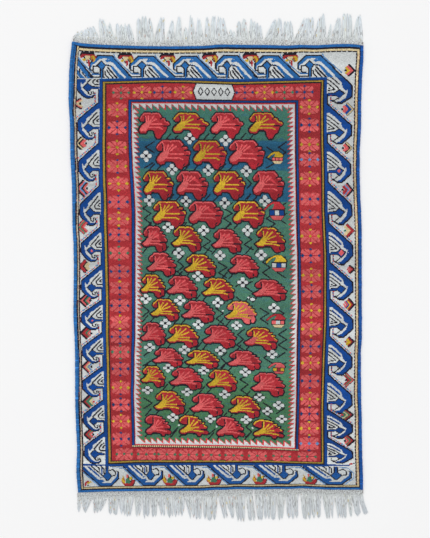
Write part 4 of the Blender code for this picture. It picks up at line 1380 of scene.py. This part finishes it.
def fringePiece(name, locks, table, outward, node):
    edgeLine = eased(table)
    cotton = linear(fringe["cotton"])
    look = fringe["netTop" if outward > 0 else "netBottom"]
    deep = look["first"] + look["rows"] * look["pitch"]
    fade = fringe["fades"][name]
    strands = Shape()
    for rootLeft, rootRight, tipLeft, tipRight, rowLeft, rowRight in locks:
        number = max(2, round((rootRight - rootLeft) / fringe["strandPitch"]))
        marks = [0.0]
        while marks[-1] < rootRight - rootLeft:
            marks.append(marks[-1] + random.uniform(*fringe["tuft"]))
        marks = np.array(marks) / marks[-1]
        longer = [(random.uniform(-0.8, 1.0), random.uniform(*fringe["point"])) for _ in marks]
        for k in range(number):
            for hair in range(1 + fringe["hairs"]):
                share = (k + 0.5 + random.uniform(-0.4, 0.4)) / number
                root = rootLeft + (rootRight - rootLeft) * share
                share = min(0.999, max(0.001, share))
                tuft = int(np.searchsorted(marks, share)) - 1
                middle, width = (marks[tuft] + marks[tuft + 1]) / 2, marks[tuft + 1] - marks[tuft]
                aside = (share - middle) / width
                tip = tipLeft + (tipRight - tipLeft) * (middle + 0.66 * aside * width)
                tipRow = rowLeft + (rowRight - rowLeft) * share
                shorter = longer[tuft][1] * abs(aside) + longer[tuft][0] - 0.9
                tipRow += outward * (shorter + random.uniform(-0.3, 0.5))
                edgeRow = float(np.interp(root, steps, edgeLine))
                edgeRow -= outward * (deep - random.uniform(1.2, 3.6))
                tone = cotton * fringe["tones"][name] * random.uniform(0.9, 1.04)
                tone = tone * np.array((1.0, 1.0, random.uniform(0.97, 1.04)))
                start = metres(root, edgeRow)
                end = metres(tip, tipRow)
                if hair:
                    strand(strands, start, end, 0.0006, 0.0003, 3, 8, tone, fade,
                           random.uniform(0.0012, 0.0034))
                else:
                    strand(strands, start, end, fringe["strandRadius"], fringe["tipRadius"],
                           fringe["around"], fringe["rings"], tone, fade, random.uniform(0.0, 0.0022))
    loose = strands.finish(name + "Strands", cottonYarn)
    net = Shape()
    under = linear(fringe["under"])
    for rootLeft, rootRight, *_ in locks:      # shaded strip below the knots
        columns = np.linspace(rootLeft - 0.2, rootRight + 0.2, 5)
        rings = []
        for column in columns:
            edgeRow = float(np.interp(column, steps, edgeLine))
            x, near = metres(column, edgeRow - outward * 0.2)
            far = metres(column, edgeRow - outward * (deep - 2.8))[1]
            rings.append(((x, near, 0.0002), (x, near, 0.0034), (x, far, 0.0030), (x, far, 0.0002)))
        net.tube(rings, np.repeat(under[None, :], 5, axis=0))
    left, right = locks[0][0], locks[-1][1]
    for row in range(look["rows"] + 1):
        for column in np.arange(left + (0.5 + 0.5 * (row % 2)) * look["pitch"], right - 0.3, look["pitch"]):
            if not any(a[0] - 0.4 < column < a[1] + 0.4 for a in locks):
                continue
            if row > look["rows"] - 2 and random.random() < 0.45:
                continue
            out = look["first"] + row * look["pitch"] + random.uniform(-0.25, 0.25)
            edgeRow = float(np.interp(column, steps, edgeLine)) - outward * out
            x, y = metres(column + random.uniform(-0.22, 0.22), edgeRow)
            size = random.uniform(0.82, 1.12)
            tone = cotton * fringe["tones"][name] * random.uniform(0.86, 1.03)
            netKnot(net, x, y, 0.0036 + random.uniform(-0.0004, 0.0004), look["wide"] * size,
                    look["long"] * size, tone, random.uniform(-0.45, 0.45))
    knotsNet = net.finish(name + "Net", cottonYarn)
    for made in (loose, knotsNet):
        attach(made, "root")
    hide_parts(node)
    return [loose, knotsNet]


cottonYarn = woolShader("warpYarn", cottonLook)
fringePieces = fringePiece("fringeTop", topLocks, topEdge, 1, "fringe_top")
fringePieces += fringePiece("fringeBottom", bottomLocks, bottomEdge, -1, "fringe_bottom")
print("fringes", sum(len(p.data.polygons) for p in fringePieces))

# Floor, light and camera

studio = {
    "floor": (0.955, 0.955, 0.958),
    "sky": 0.806,
    "lamp": 84.0,
    "lampSize": 4.6,
    "lampAt": (-0.7, 0.8, 6.4),
    "pixel": 0.0034,               # metres to a pixel of the photo
    "pixels": 538,                 # down the photo, which is 430 across
    "aim": (-0.0136, -0.0034),
    "height": 6.0,
    "nearPile": 0.006,             # height in the pile for which the scale holds
}
bpy.ops.mesh.primitive_plane_add(size=9, location=(0, 0, 0))
floor = bpy.context.object
floor.name = "floor"
floorShade = Shader("paleFloor")
floorShade.set("Base Color", (*studio["floor"], 1.0))
floorShade.set("Roughness", 0.95)
floorShade.set("Specular IOR Level", 0.1)
floor.data.materials.append(floorShade.material)

world = bpy.data.worlds.new("paleRoom")
bpy.context.scene.world = world
world.use_nodes = True
world.node_tree.nodes["Background"].inputs["Color"].default_value = (1.0, 1.0, 1.0, 1.0)
world.node_tree.nodes["Background"].inputs["Strength"].default_value = studio["sky"]

bpy.ops.object.light_add(type="AREA", location=studio["lampAt"])
lamp = bpy.context.object
lamp.data.energy = studio["lamp"]
lamp.data.size = studio["lampSize"]
lampX, lampY, lampZ = studio["lampAt"]
lamp.rotation_euler = (math.atan2(-lampY, lampZ), math.atan2(lampX, lampZ), 0)

bpy.ops.object.camera_add(location=(*studio["aim"], studio["height"]), rotation=(0, 0, 0))
camera = bpy.context.object
camera.data.sensor_width = 36.0
camera.data.lens = 36.0 * (studio["height"] - studio["nearPile"]) / (studio["pixels"] * studio["pixel"])
camera.data.clip_end = 40
bpy.context.scene.camera = camera
bpy.context.scene.view_settings.view_transform = "Standard"
